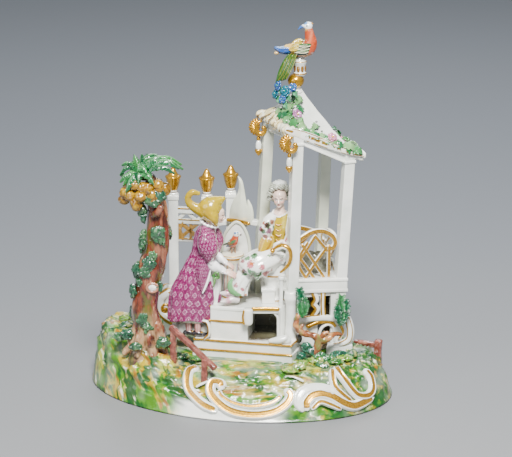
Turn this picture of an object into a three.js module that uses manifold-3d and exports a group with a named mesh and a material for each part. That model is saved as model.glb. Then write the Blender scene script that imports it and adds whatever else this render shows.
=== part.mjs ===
// Porcelain figure group: a garden scene with an arbour, two figures, a tree and birds on a rocaille base.
// Millimetres. X runs along the front, Y away from the viewer, Z up.
// The origin is under the middle of the base.
import * as THREE from "three";
import { mergeVertices } from "three/addons/utils/BufferGeometryUtils.js";
import Module from "manifold-3d";

const wasm = await Module();
wasm.setup();

const DEGREE = Math.PI / 180;

// The base: an oval turned a little from the front. The ground has a low hill under the tree
// and rises slightly at the right.
const BASE = { long: 156, short: 104, turn: -15, lawn: 41, hill: 17, shoulder: 1.5, bankPower: 2.2 };
const BASE_SEGMENTS = 36;
const BASE_INSETS = [0, 0.03, 0.08, 0.15, 0.25, 0.5];

// The rocaille scrolls on the bank. A station is an angle round the oval and an inset from its outline.
const RIBBON_LIFT = 1;
const RIBBONS = [
  {
    stations: [
      [-103, 0.3], [-105, 0.2], [-100, 0.11], [-90, 0.05], [-78, 0.03], [-66, 0.07], [-58, 0.12],
      [-58, 0.16],
    ],
    radius: 4.6,
  },
  { stations: [[-90.5, 0.24], [-93, 0.16], [-88, 0.1], [-80, 0.07], [-72, 0.06]], radius: 3.6 },
  { stations: [[-56, 0.1], [-53, 0.15], [-45, 0.14], [-40, 0.08], [-31, 0.04], [-21, 0.04]], radius: 4.8 },
  { stations: [[-33, 0.2], [-33, 0.12], [-30, 0.06], [-24, 0.04], [-17, 0.05], [-12, 0.1]], radius: 4.2 },
  { stations: [[150, 0.05], [140, 0.12], [126, 0.08], [112, 0.05], [100, 0.12]], radius: 4.6 },
  { stations: [[84, 0.05], [72, 0.13], [58, 0.08], [44, 0.05], [34, 0.13]], radius: 4.6 },
];

// Levels of the steps, the platform before the arbour and the arbour's floor.
const LEVEL = { firstStep: 59, secondStep: 79, platform: 93, slabUnder: 108, slabTop: 122 };
const STAIR = { corner: [50.5, -46.5], turn: -12, long: 100, secondFrom: 45, secondTo: 84, tread: 3 };

// The arbour's four posts, from the floor slab to the eaves. The back and right ones are shorter.
const POST_SIZE = 10.8;
const POST_TURN = 18;
const BEAM = { height: 8, thickness: 6 };
const LATTICE = { low: LEVEL.slabTop, rise: 45, plainRise: 34, width: 3.2, depth: 4 };
const SLAB_PLAN = [[51, -25], [103, -11], [84, 47], [18, 21]];
const POSTS = {
  front: { foot: [51, -25, LEVEL.slabUnder], head: [56, -24, 270] },
  right: { foot: [97, -9, 60], head: [107.5, -8, 250] },
  back: { foot: [79, 43, 60], head: [86, 44, 252] },
  left: { foot: [18, 21, LEVEL.platform - 6], head: [28, 21, 276] },
};

// The roof's corners and its top, and the gilt ball and openwork collar above it.
const ROOF = {
  corners: [[45.6, -31, 273], [124, -10, 238], [99, 60, 243], [17.5, 26, 277]],
  apex: [58.5, 8, 310],
  thickness: 5,
  hollow: 1.7,
  curve: 0.45,
};
const FINIAL = { at: [56, 8], ballZ: 316, ballRadius: 8.4, collarTop: 335, collarRadius: 5.4 };

const TREE = { y: -28, sides: 8, heart: [-93, -28, 226], fruits: [-96, -31, 213], fruitRadius: 6 };
const FENCE = { post: 4, rail: 3 };

// Small geometry kit

const vector = (p) => (p.isVector3 ? p.clone() : new THREE.Vector3(...p));

// A closed three.js geometry as a solid. A skin that was built inside out is turned round.
function solidOf(geometry) {
  const bare = geometry.index ? geometry.toNonIndexed() : geometry.clone();
  bare.deleteAttribute("normal");
  bare.deleteAttribute("uv");
  const merged = mergeVertices(bare, 1e-4);
  const make = (triVerts) =>
    new wasm.Manifold(
      new wasm.Mesh({ numProp: 3, vertProperties: merged.attributes.position.array, triVerts }),
    );
  const triVerts = new Uint32Array(merged.index.array);
  const solid = make(triVerts);
  if (solid.volume() > 0) return solid;
  for (let i = 0; i < triVerts.length; i += 3) {
    [triVerts[i], triVerts[i + 1]] = [triVerts[i + 1], triVerts[i]];
  }
  return make(triVerts);
}

const unite = (solids) => wasm.Manifold.union(solids.flat(Infinity));

// A skin through rings that all have the same number of points, closed at both ends.
function loft(rings) {
  const count = rings[0].length;
  const points = rings.flat();
  const middle = (ring) => ring.reduce((sum, p) => sum.add(p), new THREE.Vector3()).divideScalar(count);
  points.push(middle(rings[0]), middle(rings.at(-1)));
  const faces = [];
  for (let i = 0; i < rings.length - 1; i++) {
    for (let j = 0; j < count; j++) {
      const a = i * count + j;
      const b = i * count + ((j + 1) % count);
      faces.push(a, b, b + count, a, b + count, a + count);
    }
  }
  const last = (rings.length - 1) * count;
  for (let j = 0; j < count; j++) {
    const next = (j + 1) % count;
    faces.push(points.length - 2, next, j);
    faces.push(points.length - 1, last + j, last + next);
  }
  const geometry = new THREE.BufferGeometry().setFromPoints(points);
  geometry.setIndex(faces);
  return solidOf(geometry);
}

// An upright body: each section gives its height, centre, half widths and how far its pleats stand out.
function upright(sections, sides, folds = 0) {
  const rings = sections.map(({ z, at, half, pleat = 0 }) => {
    const ring = [];
    for (let j = 0; j < sides; j++) {
      const angle = (j / sides) * 2 * Math.PI;
      const swell = 1 + pleat * Math.cos(folds * angle);
      const x = at[0] + half[0] * swell * Math.cos(angle);
      const y = at[1] + half[1] * swell * Math.sin(angle);
      ring.push(new THREE.Vector3(x, y, z));
    }
    return ring;
  });
  return loft(rings);
}

// A round bar of changing thickness along a smooth path.
function limb(path, radii, { sides = 5, steps = path.length - 1, flat = 1 } = {}) {
  const curve = new THREE.CatmullRomCurve3(path.map(vector));
  const frames = curve.computeFrenetFrames(steps);
  const rings = [];
  for (let i = 0; i <= steps; i++) {
    const along = (i / steps) * (radii.length - 1);
    const k = Math.min(Math.floor(along), radii.length - 2);
    const radius = THREE.MathUtils.lerp(radii[k], radii[k + 1], along - k);
    const centre = curve.getPoint(i / steps);
    const ring = [];
    for (let j = 0; j < sides; j++) {
      const angle = (j / sides) * 2 * Math.PI;
      ring.push(
        centre
          .clone()
          .addScaledVector(frames.normals[i], radius * Math.cos(angle))
          .addScaledVector(frames.binormals[i], radius * flat * Math.sin(angle)),
      );
    }
    rings.push(ring);
  }
  return loft(rings);
}

// A flat bar of rectangular section along a path in an upright plane. It stands out along the normal.
function band(path, normal, width, depth, steps = 2 * (path.length - 1)) {
  const curve = path.length > 2 ? new THREE.CatmullRomCurve3(path.map(vector)) : null;
  const out = vector(normal).normalize();
  const line = new THREE.LineCurve3(vector(path[0]), vector(path.at(-1)));
  const route = curve ?? line;
  const count = curve ? steps : 1;
  const rings = [];
  for (let i = 0; i <= count; i++) {
    const centre = route.getPoint(i / count);
    const across = new THREE.Vector3().crossVectors(out, route.getTangent(i / count)).normalize();
    const corner = (a, b) =>
      centre.clone().addScaledVector(across, (a * width) / 2).addScaledVector(out, (b * depth) / 2);
    rings.push([corner(1, 1), corner(-1, 1), corner(-1, -1), corner(1, -1)]);
  }
  return loft(rings);
}

function ball(centre, half, detail = 6) {
  const geometry = new THREE.SphereGeometry(1, detail, Math.ceil(detail * 0.65));
  geometry.scale(half[0], half[2], half[1]);
  geometry.rotateX(Math.PI / 2);
  geometry.translate(...centre);
  return solidOf(geometry);
}

// A turned piece on an upright axis, from pairs of radius and height.
function lathe(profile, [x, y], segments = 8) {
  const outline = [[0, profile[0][1]], ...profile, [0, profile.at(-1)[1]]];
  const geometry = new THREE.LatheGeometry(outline.map(([r, z]) => new THREE.Vector2(r, z)), segments);
  geometry.rotateX(Math.PI / 2);
  geometry.translate(x, y, 0);
  return solidOf(geometry);
}

// A flat plan, given by its corners, raised from one height to another.
function prism(corners, low, high) {
  const shape = new THREE.Shape(corners.map(([x, y]) => new THREE.Vector2(x, y)));
  const geometry = new THREE.ExtrudeGeometry(shape, { depth: high - low, bevelEnabled: false });
  geometry.translate(0, 0, low);
  return solidOf(geometry);
}

// An upright panel: a shape drawn with its first axis along the ground from one point towards another.
function panel(shape, from, towards, thickness) {
  const geometry = new THREE.ExtrudeGeometry(shape, {
    depth: thickness,
    bevelEnabled: false,
    curveSegments: 6,
  });
  geometry.translate(0, 0, -thickness / 2);
  geometry.rotateX(Math.PI / 2);
  geometry.rotateZ(Math.atan2(towards[1] - from[1], towards[0] - from[0]));
  geometry.translate(from[0], from[1], 0);
  return solidOf(geometry);
}

// Corners of a plan moved outwards from their middle by a distance.
function spread(corners, distance) {
  const share = 1 / corners.length;
  const centre = corners.reduce(([sumX, sumY], [x, y]) => [sumX + x * share, sumY + y * share], [0, 0]);
  return corners.map(([x, y]) => {
    const reach = Math.hypot(x - centre[0], y - centre[1]);
    const grow = (reach + distance) / reach;
    return [centre[0] + (x - centre[0]) * grow, centre[1] + (y - centre[1]) * grow];
  });
}

// Base

const smooth = (t) => THREE.MathUtils.smoothstep(t, 0, 1);

// The oval's outline: angle 0 is the right end, -90 the front.
function outlineAt(angle) {
  const t = angle * DEGREE;
  const turn = BASE.turn * DEGREE;
  const x = BASE.long * Math.cos(t);
  const y = BASE.short * Math.sin(t);
  return [x * Math.cos(turn) - y * Math.sin(turn), x * Math.sin(turn) + y * Math.cos(turn)];
}

function lawnHeight(x) {
  const hill = BASE.hill * smooth((-x - 45) / 70);
  const shoulder = BASE.shoulder * smooth((x - 80) / 60);
  return BASE.lawn + hill + shoulder;
}

// The bank is steep under the hill at the left and gentle at the front.
function bankWidth(angle) {
  const t = angle * DEGREE;
  const front = Math.max(0, -Math.sin(t)) ** 2;
  const back = Math.max(0, Math.sin(t)) ** 2;
  return 0.16 + 0.06 * Math.cos(t) + 0.26 * front + 0.1 * back;
}

// A point on the ground: inset runs from 0 at the outline to 1 in the middle.
function groundAt(angle, inset, lift = 0) {
  const [rimX, rimY] = outlineAt(angle);
  const x = rimX * (1 - inset);
  const y = rimY * (1 - inset);
  const rise = 1 - (1 - Math.min(inset / bankWidth(angle), 1)) ** BASE.bankPower;
  return new THREE.Vector3(x, y, lawnHeight(x) * rise + lift);
}

function mound() {
  const rings = BASE_INSETS.map((inset) => {
    const ring = [];
    for (let j = 0; j < BASE_SEGMENTS; j++) {
      ring.push(groundAt((j / BASE_SEGMENTS) * 360, inset));
    }
    return ring;
  });
  return loft(rings);
}

// A raised rocaille ribbon that lies on the bank, from pairs of outline angle and inset.
function ribbon({ stations, radius }) {
  const path = stations.map(([angle, inset]) => groundAt(angle, inset, RIBBON_LIFT));
  const radii = stations.map((_, i) => (i === 0 || i === stations.length - 1 ? radius * 0.6 : radius));
  return limb(path, radii, { sides: 4, steps: Math.round(1.25 * stations.length) });
}

function rocaille() {
  return RIBBONS.map(ribbon);
}

// Steps and platform

// A point in the stair's own plan: along its front towards the left, and back from it.
function stairPoint(along, back) {
  const turn = STAIR.turn * DEGREE;
  const [x, y] = STAIR.corner;
  return [
    x - along * Math.cos(turn) - back * Math.sin(turn),
    y - along * Math.sin(turn) + back * Math.cos(turn),
  ];
}

function steps() {
  const first = [
    stairPoint(0, 0), stairPoint(STAIR.long, 0), stairPoint(STAIR.long + 4, 22), stairPoint(-5, 40),
  ];
  const block = (from, to, back, low, high) => {
    const plan = [stairPoint(from, back), stairPoint(to, back), stairPoint(to, 40), stairPoint(from, 40)];
    return prism(plan, low, high);
  };
  const { secondFrom, secondTo, tread } = STAIR;
  const roll = stairPoint(secondFrom + 4, tread + 5);
  return [
    prism(first, 20, LEVEL.firstStep),
    block(secondFrom, secondTo, tread, LEVEL.firstStep - 1, LEVEL.secondStep),
    block(secondFrom, secondTo, 2 * tread, LEVEL.secondStep - 1, LEVEL.platform),
    lathe([[5.6, LEVEL.secondStep - 1], [5.6, LEVEL.platform + 1]], roll),
  ];
}

const PLATFORM_PLAN = [
  [-30, -27], [12, -34], [37, -33], [47, -20], [46, 34], [12, 46], [-30, 52], [-78, 44], [-82, 24],
  [-64, 14], [-34, 10],
];
const ARCH = { from: 5, to: 36.6, springs: 76, top: 88, back: 12 };

// The hollow under the arbour and the platform, reached by the arch and the pierced wall.
const CELLAR_PLAN = [[50, -26], [101, -12], [82, 46], [18, 26]];

function platform() {
  const mass = prism(PLATFORM_PLAN, 30, LEVEL.platform);
  const bracket = limb(
    [[-74, 24, 90], [-82, 22, 84], [-80, 18, 72], [-70, 14, 64], [-60, 14, 62]],
    [5, 6, 5, 6, 4],
  );
  return [mass, bracket];
}

function archCut() {
  const middle = (ARCH.from + ARCH.to) / 2;
  const shape = new THREE.Shape();
  shape.moveTo(ARCH.from, LEVEL.firstStep);
  shape.lineTo(ARCH.to, LEVEL.firstStep);
  shape.lineTo(ARCH.to, ARCH.springs);
  shape.quadraticCurveTo(ARCH.to - 1, ARCH.top, middle, ARCH.top);
  shape.quadraticCurveTo(ARCH.from + 1, ARCH.top, ARCH.from, ARCH.springs);
  shape.closePath();
  const depth = 50 + ARCH.back;
  return panel(shape, [0, ARCH.back - depth / 2], [1, ARCH.back - depth / 2], depth);
}

const CELLAR_FLOOR = 44;

function cellarCut() {
  return prism(spread(CELLAR_PLAN, -9), CELLAR_FLOOR, LEVEL.slabUnder + 1);
}

// A hole through the cellar wall: a box from one height to another, centred on a point of a wall.
function wallHole(a, b, from, to, low, high) {
  const shape = new THREE.Shape();
  shape.moveTo(from, low);
  shape.lineTo(to, low);
  shape.lineTo(to, high);
  shape.lineTo(from, high);
  shape.closePath();
  return panel(shape, a, b, 26);
}

function cellarHoles() {
  const [front, right, back, left] = CELLAR_PLAN;
  return [
    wallHole(front, right, 18, 26, 80, 103),
    wallHole(front, right, 30, 39, 80, 103),
    wallHole(front, right, 31, 45, 56, 68),
    wallHole(right, back, 12, 26, 60, 100),
    wallHole(right, back, 34, 48, 60, 100),
    wallHole(back, left, 12, 28, 60, 100),
  ];
}

// Arbour

function post({ foot, head }) {
  const half = (POST_SIZE / 2) * Math.SQRT2;
  const ring = ([x, y, z]) =>
    [0, 1, 2, 3].map((k) => {
      const angle = (45 + POST_TURN + 90 * k) * DEGREE;
      return new THREE.Vector3(x + half * Math.cos(angle), y + half * Math.sin(angle), z);
    });
  return loft([ring(foot), ring(head)]);
}

// The point of a post's axis at a height.
function postAt({ foot, head }, z) {
  const share = (z - foot[2]) / (head[2] - foot[2]);
  return [foot[0] + (head[0] - foot[0]) * share, foot[1] + (head[1] - foot[1]) * share, z];
}

function beam(a, zA, b, zB) {
  const from = vector(postAt(a, zA));
  const to = vector(postAt(b, zB));
  const side = new THREE.Vector3().subVectors(to, from).cross(new THREE.Vector3(0, 0, 1));
  return band([from, to], side, BEAM.height, BEAM.thickness);
}

// A lattice side between two posts: a curved top rail and crossing bars, fewer on a plain side.
function lattice(a, b, plain = false) {
  const start = vector(postAt(a, LATTICE.low));
  const end = vector(postAt(b, LATTICE.low));
  const rise = plain ? LATTICE.plainRise : LATTICE.rise;
  const span = new THREE.Vector3().subVectors(end, start);
  const side = span.clone().cross(new THREE.Vector3(0, 0, 1));
  const upwards = new THREE.Vector3(0, 0, rise);
  const at = (share, up) => start.clone().addScaledVector(span, share).addScaledVector(upwards, up);
  const bar = (...points) => band(points, side, LATTICE.width, LATTICE.depth, 6);
  const crossed = [
    bar(at(0.06, 0.8), at(0.3, 0.95), at(0.55, 1), at(0.78, 0.9), at(0.86, 0.72), at(0.76, 0.62)),
    bar(at(0.1, 0.68), at(0.66, -0.05)),
    bar(at(0.2, -0.05), at(0.74, 0.68)),
  ];
  return plain ? crossed : [crossed, bar(at(0.72, -0.05), at(0.74, 0.66))];
}

function cellarWalls() {
  return prism(spread(CELLAR_PLAN, 1), 30, LEVEL.slabUnder + 2);
}

// Rings of the roof's plan: the eaves run between the corners and each ring draws in towards the apex.
function roofRing(share, lift) {
  const { corners, apex, hollow, curve } = ROOF;
  const climb = curve * share ** hollow + (1 - curve) * share;
  const ring = [];
  const perSide = 2;
  corners.forEach((corner, i) => {
    const next = corners[(i + 1) % corners.length];
    for (let k = 0; k < perSide; k++) {
      const edge = vector(corner).lerp(vector(next), k / perSide);
      const inwards = edge.clone().lerp(vector(apex), share);
      inwards.z = edge.z + (apex[2] - edge.z) * climb + lift;
      ring.push(inwards);
    }
  });
  return ring;
}

function roof() {
  const shares = [0, 0.3, 0.65, 0.97];
  const outer = loft([roofRing(0, -3), ...shares.map((s) => roofRing(s, 0))]);
  const under = [0.08, 0.45, 0.75].map((s) => roofRing(s, -ROOF.thickness));
  const inner = loft([roofRing(0.08, -30), ...under]);
  return outer.subtract(inner);
}

// A gilt bracket under the eave: a C of bead with a bell hanging from it.
function bracket([x, y, z], radius) {
  const path = [];
  for (let k = 0; k <= 7; k++) {
    const angle = (60 + k * 40) * DEGREE;
    path.push([x + radius * Math.cos(angle), y, z + radius * Math.sin(angle)]);
  }
  return [
    limb(path, [2.4, 3, 3, 3, 3.6], { sides: 4, steps: 8 }),
    lathe([[0.8, z - 27], [2.8, z - 22], [1.4, z - 20], [3.4, z - 16], [1, z - 4]], [x, y], 5),
  ];
}

function arbour() {
  const { front, right, back, left } = POSTS;
  const column = lathe([[6.4, 57], [5.5, 66], [5.6, 92], [7, 104], [6, 109]], [50.5, -27]);
  const colonnette = lathe([[2.4, 57], [2.2, 124]], [39.2, -26], 6);
  const pedestal = prism(
    [[21.6, -20], [34.6, -19], [34.6, -8], [21.6, -9]],
    LEVEL.platform - 1,
    LEVEL.slabUnder + 2,
  );
  const foot = [
    limb(
      [
        [102, -12, 93], [104.6, -13, 82], [108.6, -14, 73], [110.6, -15, 63], [109, -15.4, 54],
        [102, -16, 49.6], [94, -16, 48],
      ],
      [4, 4, 4, 5, 5, 4, 3.4],
    ),
    prism([[86, -22], [113, -17], [113, -5], [88, -9]], 34, 49),
  ];
  return [
    Object.values(POSTS).map(post),
    beam(front, 266, right, 240),
    beam(right, 240, back, 244),
    beam(back, 244, left, 266),
    beam(left, 269, front, 266),
    lattice(front, right),
    lattice(back, right, true),
    lattice(back, left, true),
    prism(spread(SLAB_PLAN, POST_SIZE / 2), LEVEL.slabUnder, LEVEL.slabTop),
    column,
    colonnette,
    pedestal,
    foot,
    roof(),
    bracket([48, -32, 262], 6.2),
    bracket([18, 18, 266], 5.8),
  ];
}

function finial() {
  const { at, ballZ, ballRadius, collarTop, collarRadius } = FINIAL;
  const neck = collarTop - 14;
  return [
    ball([...at, ballZ], [ballRadius, ballRadius, ballRadius], 8),
    lathe(
      [[2, neck - 4], [collarRadius, neck], [4, neck + 6], [collarRadius, collarTop]],
      [at[0] + 3, at[1]],
      8,
    ),
  ];
}

// Birds

function roofBird() {
  const y = FINIAL.at[1];
  return [
    limb(
      [[44, y, 349], [52, y, 346], [62, y, 346], [71, y, 351], [72, y, 359], [67, y, 368]],
      [2, 6.5, 8, 7, 4.6, 4],
    ),
    ball([66.5, y, 369.6], [4.6, 3.8, 4]),
    limb([[66, y, 370], [60, y, 371], [57.5, y, 366]], [2.2, 1.8, 0.9], { sides: 5 }),
    limb([[52, y, 349], [44, y, 352], [35, y, 349]], [4, 3.6, 1.4], { flat: 0.6 }),
    limb(
      [[56, y, 344], [50, y, 336], [45, y - 2, 325], [40, y - 3, 315]],
      [5, 6, 6.5, 2.5],
      { flat: 0.45 },
    ),
    limb([[58, y, 332], [59, y, 344]], [3, 4], { sides: 6 }),
  ];
}

const STOOL = { at: [-8.2, 5], top: 138 };

function stool() {
  const { at, top } = STOOL;
  return lathe([[10, LEVEL.platform - 1], [9.6, 116], [11, top - 3], [10.8, top]], at, 12);
}

function parrot() {
  return [
    limb(
      [[-18.7, 4.9, 150], [-12.7, 4.9, 150], [-7.5, 4.1, 153.5], [-4.1, 3.2, 159.5], [-2.8, 3.2, 164]],
      [1.3, 3.2, 4.9, 4.4, 3.6],
    ),
    ball([-2, 2.9, 164], [4, 3.7, 3.9]),
    limb([[-6.7, 4.9, 153], [-6.7, 4.9, 137]], [3, 2.4], { sides: 6 }),
  ];
}

// Figures

const STANDING_Y = -12;

// The standing figure faces the stairs, in a flared coat and a broad hat with a curled point.
function standingFigure() {
  const coat = [
    { z: 76, at: [-48.4, STANDING_Y], half: [24, 15.4], pleat: 0.05 },
    { z: 99, at: [-46, STANDING_Y], half: [24.6, 13.8], pleat: 0.05 },
    { z: 120, at: [-43.8, STANDING_Y], half: [19.4, 11.6], pleat: 0.05 },
    { z: 136, at: [-40.6, STANDING_Y], half: [13.4, 10] },
    { z: 146, at: [-38, STANDING_Y], half: [10.4, 9] },
    { z: 160, at: [-35.6, STANDING_Y], half: [10.4, 10] },
    { z: 171.4, at: [-33, STANDING_Y], half: [7.8, 9.6] },
    { z: 176, at: [-31, STANDING_Y], half: [4.6, 5.6] },
  ];
  const leg = (x, y) => [
    limb([[x, y, 80], [x + 0.4, y, 70], [x, y, 60]], [4, 3.6, 2.8]),
    limb([[x - 4, y, 61.4], [x + 3, y, 61.6], [x + 11, y, 60.6]], [2.6, 3.4, 1.8], { steps: 3 }),
  ];
  const rocks = ball([-59, -9, 60], [12, 10, 10]);
  const neck = limb([[-33, STANDING_Y, 172], [-27, STANDING_Y, 181]], [4, 4]);
  const head = ball([-24.4, STANDING_Y - 0.5, 184], [7.4, 7, 9]);
  const sleeve = limb(
    [[-36, -18.5, 171], [-33.6, -22, 164], [-32, -23.6, 156], [-31, -23.6, 148], [-30.6, -23, 141]],
    [4.6, 8, 9.4, 8.2, 5.2],
  );
  return [
    upright(coat, 12, 6),
    leg(-52.6, -18),
    leg(-43.4, -21),
    rocks,
    neck,
    head,
    hat(),
    sleeve,
    limb(
      [[-30.8, -23.4, 141], [-28, -23, 135.4], [-22, -22.4, 131.4], [-14, -22, 127.6], [-8, -20.5, 125]],
      [4.4, 5, 4, 3, 2.6],
    ),
    limb(
      [[-35, -21, 148], [-37, -24.4, 130], [-38, -26, 117], [-37.8, -26.4, 107]],
      [4.6, 5.4, 4.6, 1.6],
      { flat: 0.5 },
    ),
    limb([[-34, -4, 170], [-25.4, -1, 153], [-26, -6, 142], [-14, -12, 133.6]], [5, 7.6, 5, 2.6]),
  ];
}

function hat() {
  const y = STANDING_Y;
  return [
    ball([-30, y, 190.5], [12, 10.6, 11], 7),
    limb([[-30, y, 194], [-22, y, 197], [-15, y, 200]], [7.6, 6, 2.6], { steps: 2 }),
    limb(
      [
        [-34, y, 189], [-44, y, 191], [-50.4, y, 196], [-52, y, 202], [-47.6, y, 206.6],
        [-41, y, 206],
      ],
      [9, 5.6, 4, 3.4, 3.2, 2.2],
      { steps: 7 },
    ),
    limb([[-30, y - 3, 189], [-26, y - 6, 182], [-24, y - 6, 176]], [8.4, 5.6, 2.2], { steps: 2 }),
  ];
}

// The seated figure faces the stairs from the open side of the arbour.
function seatedFigure() {
  const body = [
    { z: 138, at: [38.5, -2], half: [8, 8] },
    { z: 150, at: [38.5, -1], half: [6.4, 6.4] },
    { z: 166, at: [38.5, -1], half: [8.6, 7.6] },
    { z: 178, at: [39, -1], half: [9.4, 7] },
    { z: 185, at: [39, -1.4], half: [5, 4.6] },
    { z: 191, at: [39, -2], half: [3.2, 3.2] },
  ];
  const overskirt = limb(
    [[43, 0, 141], [36, -5, 140], [26, -11, 136.6], [16, -14.6, 133], [7.6, -15.6, 130], [3.4, -16, 127]],
    [9, 11.6, 14, 14.5, 12.2, 8],
    { sides: 7, steps: 6 },
  );
  const underskirt = limb(
    [[6, -14, 124], [1, -16, 116.6], [-2, -17.4, 110], [-3.4, -18, 103]],
    [8, 9.4, 10, 10],
    { sides: 7, steps: 3 },
  );
  return [
    upright(body, 8),
    ball([39, -2.4, 199.8], [7, 7.2, 9]),
    ball([39, 4, 206], [9.8, 8.6, 8]),
    limb([[33, -5, 178], [28.5, -7, 170], [28.4, -10, 162], [28.4, -11, 157]], [5, 7, 6.4, 3.8]),
    limb([[28.4, -11.6, 161], [23.4, -15.4, 150], [19.6, -18, 139.6]], [4, 5.6, 2.6], { flat: 0.6 }),
    limb([[45, 2, 177], [50, -5, 165], [46, -11, 154]], [5, 5, 3.4]),
    overskirt,
    underskirt,
    limb([[-2, -21, 105], [-12, -24, 106], [-20, -25, 105.6]], [3.4, 3.2, 2], { steps: 3 }),
    limb([[-1, -24, 100.6], [-11, -27, 99.4], [-19, -28, 98.2]], [3.4, 3.2, 2], { steps: 3 }),
    limb([[34, -8, 116], [34, -4, 132]], [13, 13], { sides: 8, steps: 1 }),
  ];
}

function chairArm() {
  return limb(
    [
      [30, -20, 146], [32, -24, 151], [36.6, -27.4, 155.4], [42.4, -30, 158], [48.2, -31, 155],
      [50, -31, 147.6],
      [48.4, -30, 140], [44.4, -28.6, 134], [40, -26.6, 128], [37, -22, 124],
    ],
    [2.4, 3.4, 3.6, 3.6, 3.6, 3.6, 3.6, 3.6, 3.4, 3.2],
    { sides: 4, steps: 11 },
  );
}

// The rough bank that fills the corner behind the lattice.
function bank() {
  return [ball([70, 2, 124], [16, 8, 16]), ball([81, 9, 122], [12, 8, 15])];
}

// Colonnade behind

const PIERS = [[-68, 30], [-34, 24], [-10, 38]];
const PIER_SIZE = 10;
const PIER_TOP = 193;

function pier([x, y]) {
  const half = PIER_SIZE / 2;
  const plan = [[x - half, y - half], [x + half, y - half], [x + half, y + half], [x - half, y + half]];
  const knob = [[4.5, 192], [4.5, 195], [3.6, 197], [8, 210], [2.4, 219], [0.8, 222]];
  return [prism(plan, LEVEL.platform - 2, PIER_TOP), lathe(knob, [x, y])];
}

function balustrade() {
  const [a, b, c] = PIERS;
  const wall = (p, q, low, high, thickness) => {
    const middle = (low + high) / 2;
    const from = new THREE.Vector3(p[0], p[1], middle);
    const to = new THREE.Vector3(q[0], q[1], middle);
    const side = new THREE.Vector3().subVectors(to, from).cross(new THREE.Vector3(0, 0, 1));
    return band([from, to], side, high - low, thickness);
  };
  const strut = (p, q) => {
    const side = new THREE.Vector3(b[0] - a[0], b[1] - a[1], 0).cross(new THREE.Vector3(0, 0, 1));
    return band([p, q], side, 3.4, 4);
  };
  const alongAB = (share, z) => [a[0] + (b[0] - a[0]) * share, a[1] + (b[1] - a[1]) * share, z];
  const last = POSTS.left.foot;
  return [
    wall(a, b, 174, 180, 6),
    wall(a, b, 163, 168, 6),
    wall(a, b, 144, 148, 5),
    strut(alongAB(0.1, 166), alongAB(0.4, 176)),
    strut(alongAB(0.4, 176), alongAB(0.7, 166)),
    strut(alongAB(0.15, 146), alongAB(0.8, 166)),
    strut(alongAB(0.15, 166), alongAB(0.8, 146)),
    wall(b, c, 160, 166, 6),
    wall(b, c, LEVEL.platform - 1, 108, 6),
    wall(c, last, 163, 168, 8),
    wall(c, last, LEVEL.platform - 1, 120, 6),
    shell(c, last),
  ];
}

// The pointed shell above the rail and the rounded shield behind the stool.
function shell(c, last) {
  const flame = new THREE.Shape();
  flame.moveTo(0, 164);
  flame.quadraticCurveTo(4, 186, 12.4, 211.4);
  flame.quadraticCurveTo(17.6, 204, 18.6, 188);
  flame.quadraticCurveTo(21.4, 189.4, 23.4, 187);
  flame.quadraticCurveTo(27.6, 178, 28, 164);
  flame.closePath();
  const shield = new THREE.Shape();
  shield.moveTo(0, LEVEL.platform - 1);
  shield.lineTo(28, LEVEL.platform - 1);
  shield.lineTo(28, 148);
  shield.quadraticCurveTo(26, 168, 12, 168);
  shield.quadraticCurveTo(0, 166, 0, 148);
  shield.closePath();
  return [panel(flame, [c[0], c[1] - 3], [last[0], last[1] - 3], 7), panel(shield, [-18, 21], [10, 16], 5)];
}

// Tree

function tree() {
  const { y, sides } = TREE;
  const trunk = [
    [-93, y, 40], [-93, y, 68], [-96, y, 90], [-93, y, 108], [-90, y, 132], [-82.5, y, 155], [-81, y, 179],
    [-83, y, 200], [-88, y, 226],
  ];
  const radii = [19, 14, 13, 12.6, 13.4, 11.6, 10.4, 8, 6];
  const knots = [[-78, y - 6, 172], [-94, y - 7, 137], [-92, y - 2, 158], [-97, y - 9, 78]];
  return [
    limb(trunk, radii, { sides, steps: 9 }),
    knots.map((at) => ball(at, [7, 6, 7.5])),
    [[-74, y - 14, 46], [-110, y - 10, 50], [-96, y - 18, 46]].map((toe) =>
      limb([[-93, y, 62], toe], [9, 4]),
    ),
    crown(),
    fruits(),
  ];
}

function leaf(base, tip, width, droop) {
  const middle = vector(base).lerp(vector(tip), 0.5);
  middle.z += droop;
  return limb([base, middle, tip], [width * 0.5, width, width * 0.2], { sides: 4, steps: 2, flat: 0.35 });
}

function crown() {
  const { heart, y } = TREE;
  const tips = [
    [-57, -30, 236], [-62, -42, 229], [-70, -26, 245], [-70, -10, 232], [-90, -52, 229], [-98, -28, 251],
    [-113, -34, 241], [-119, -26, 229], [-98, -4, 231],
  ];
  return [
    ball(heart, [17, 15, 11]),
    tips.map((tip) => leaf(heart, tip, 5.5, 5)),
    ball([-84, y - 4, 206], [8, 8, 7]),
  ];
}

function fruits() {
  const [middleX, middleY, middleZ] = TREE.fruits;
  const radius = TREE.fruitRadius;
  const places = [
    [-13, -3, 1], [-8, -8, 5], [-3, -9, -1], [4, -9, 5], [11, -6, 4], [-8, 6, 1], [-6, -2, -6],
  ];
  const half = [radius, radius, radius];
  return places.map(([x, y, z]) => ball([middleX + x, middleY + y, middleZ + z], half, 5));
}

// Fences and the gnarled branch

function fences() {
  const pole = (x, y, low, high) => lathe([[FENCE.post, low], [FENCE.post, high]], [x, y]);
  const rail = (from, to) => limb([from, to], [FENCE.rail, FENCE.rail], { steps: 1 });
  return [
    pole(-66, -46, 40, 74),
    pole(-34.5, -74, 22, 52),
    rail([-68, -46, 76], [-26, -79, 47]),
    pole(140, -1, 12, 47),
    rail([117, 13.5, 40], [141, -2, 42]),
  ];
}

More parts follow.
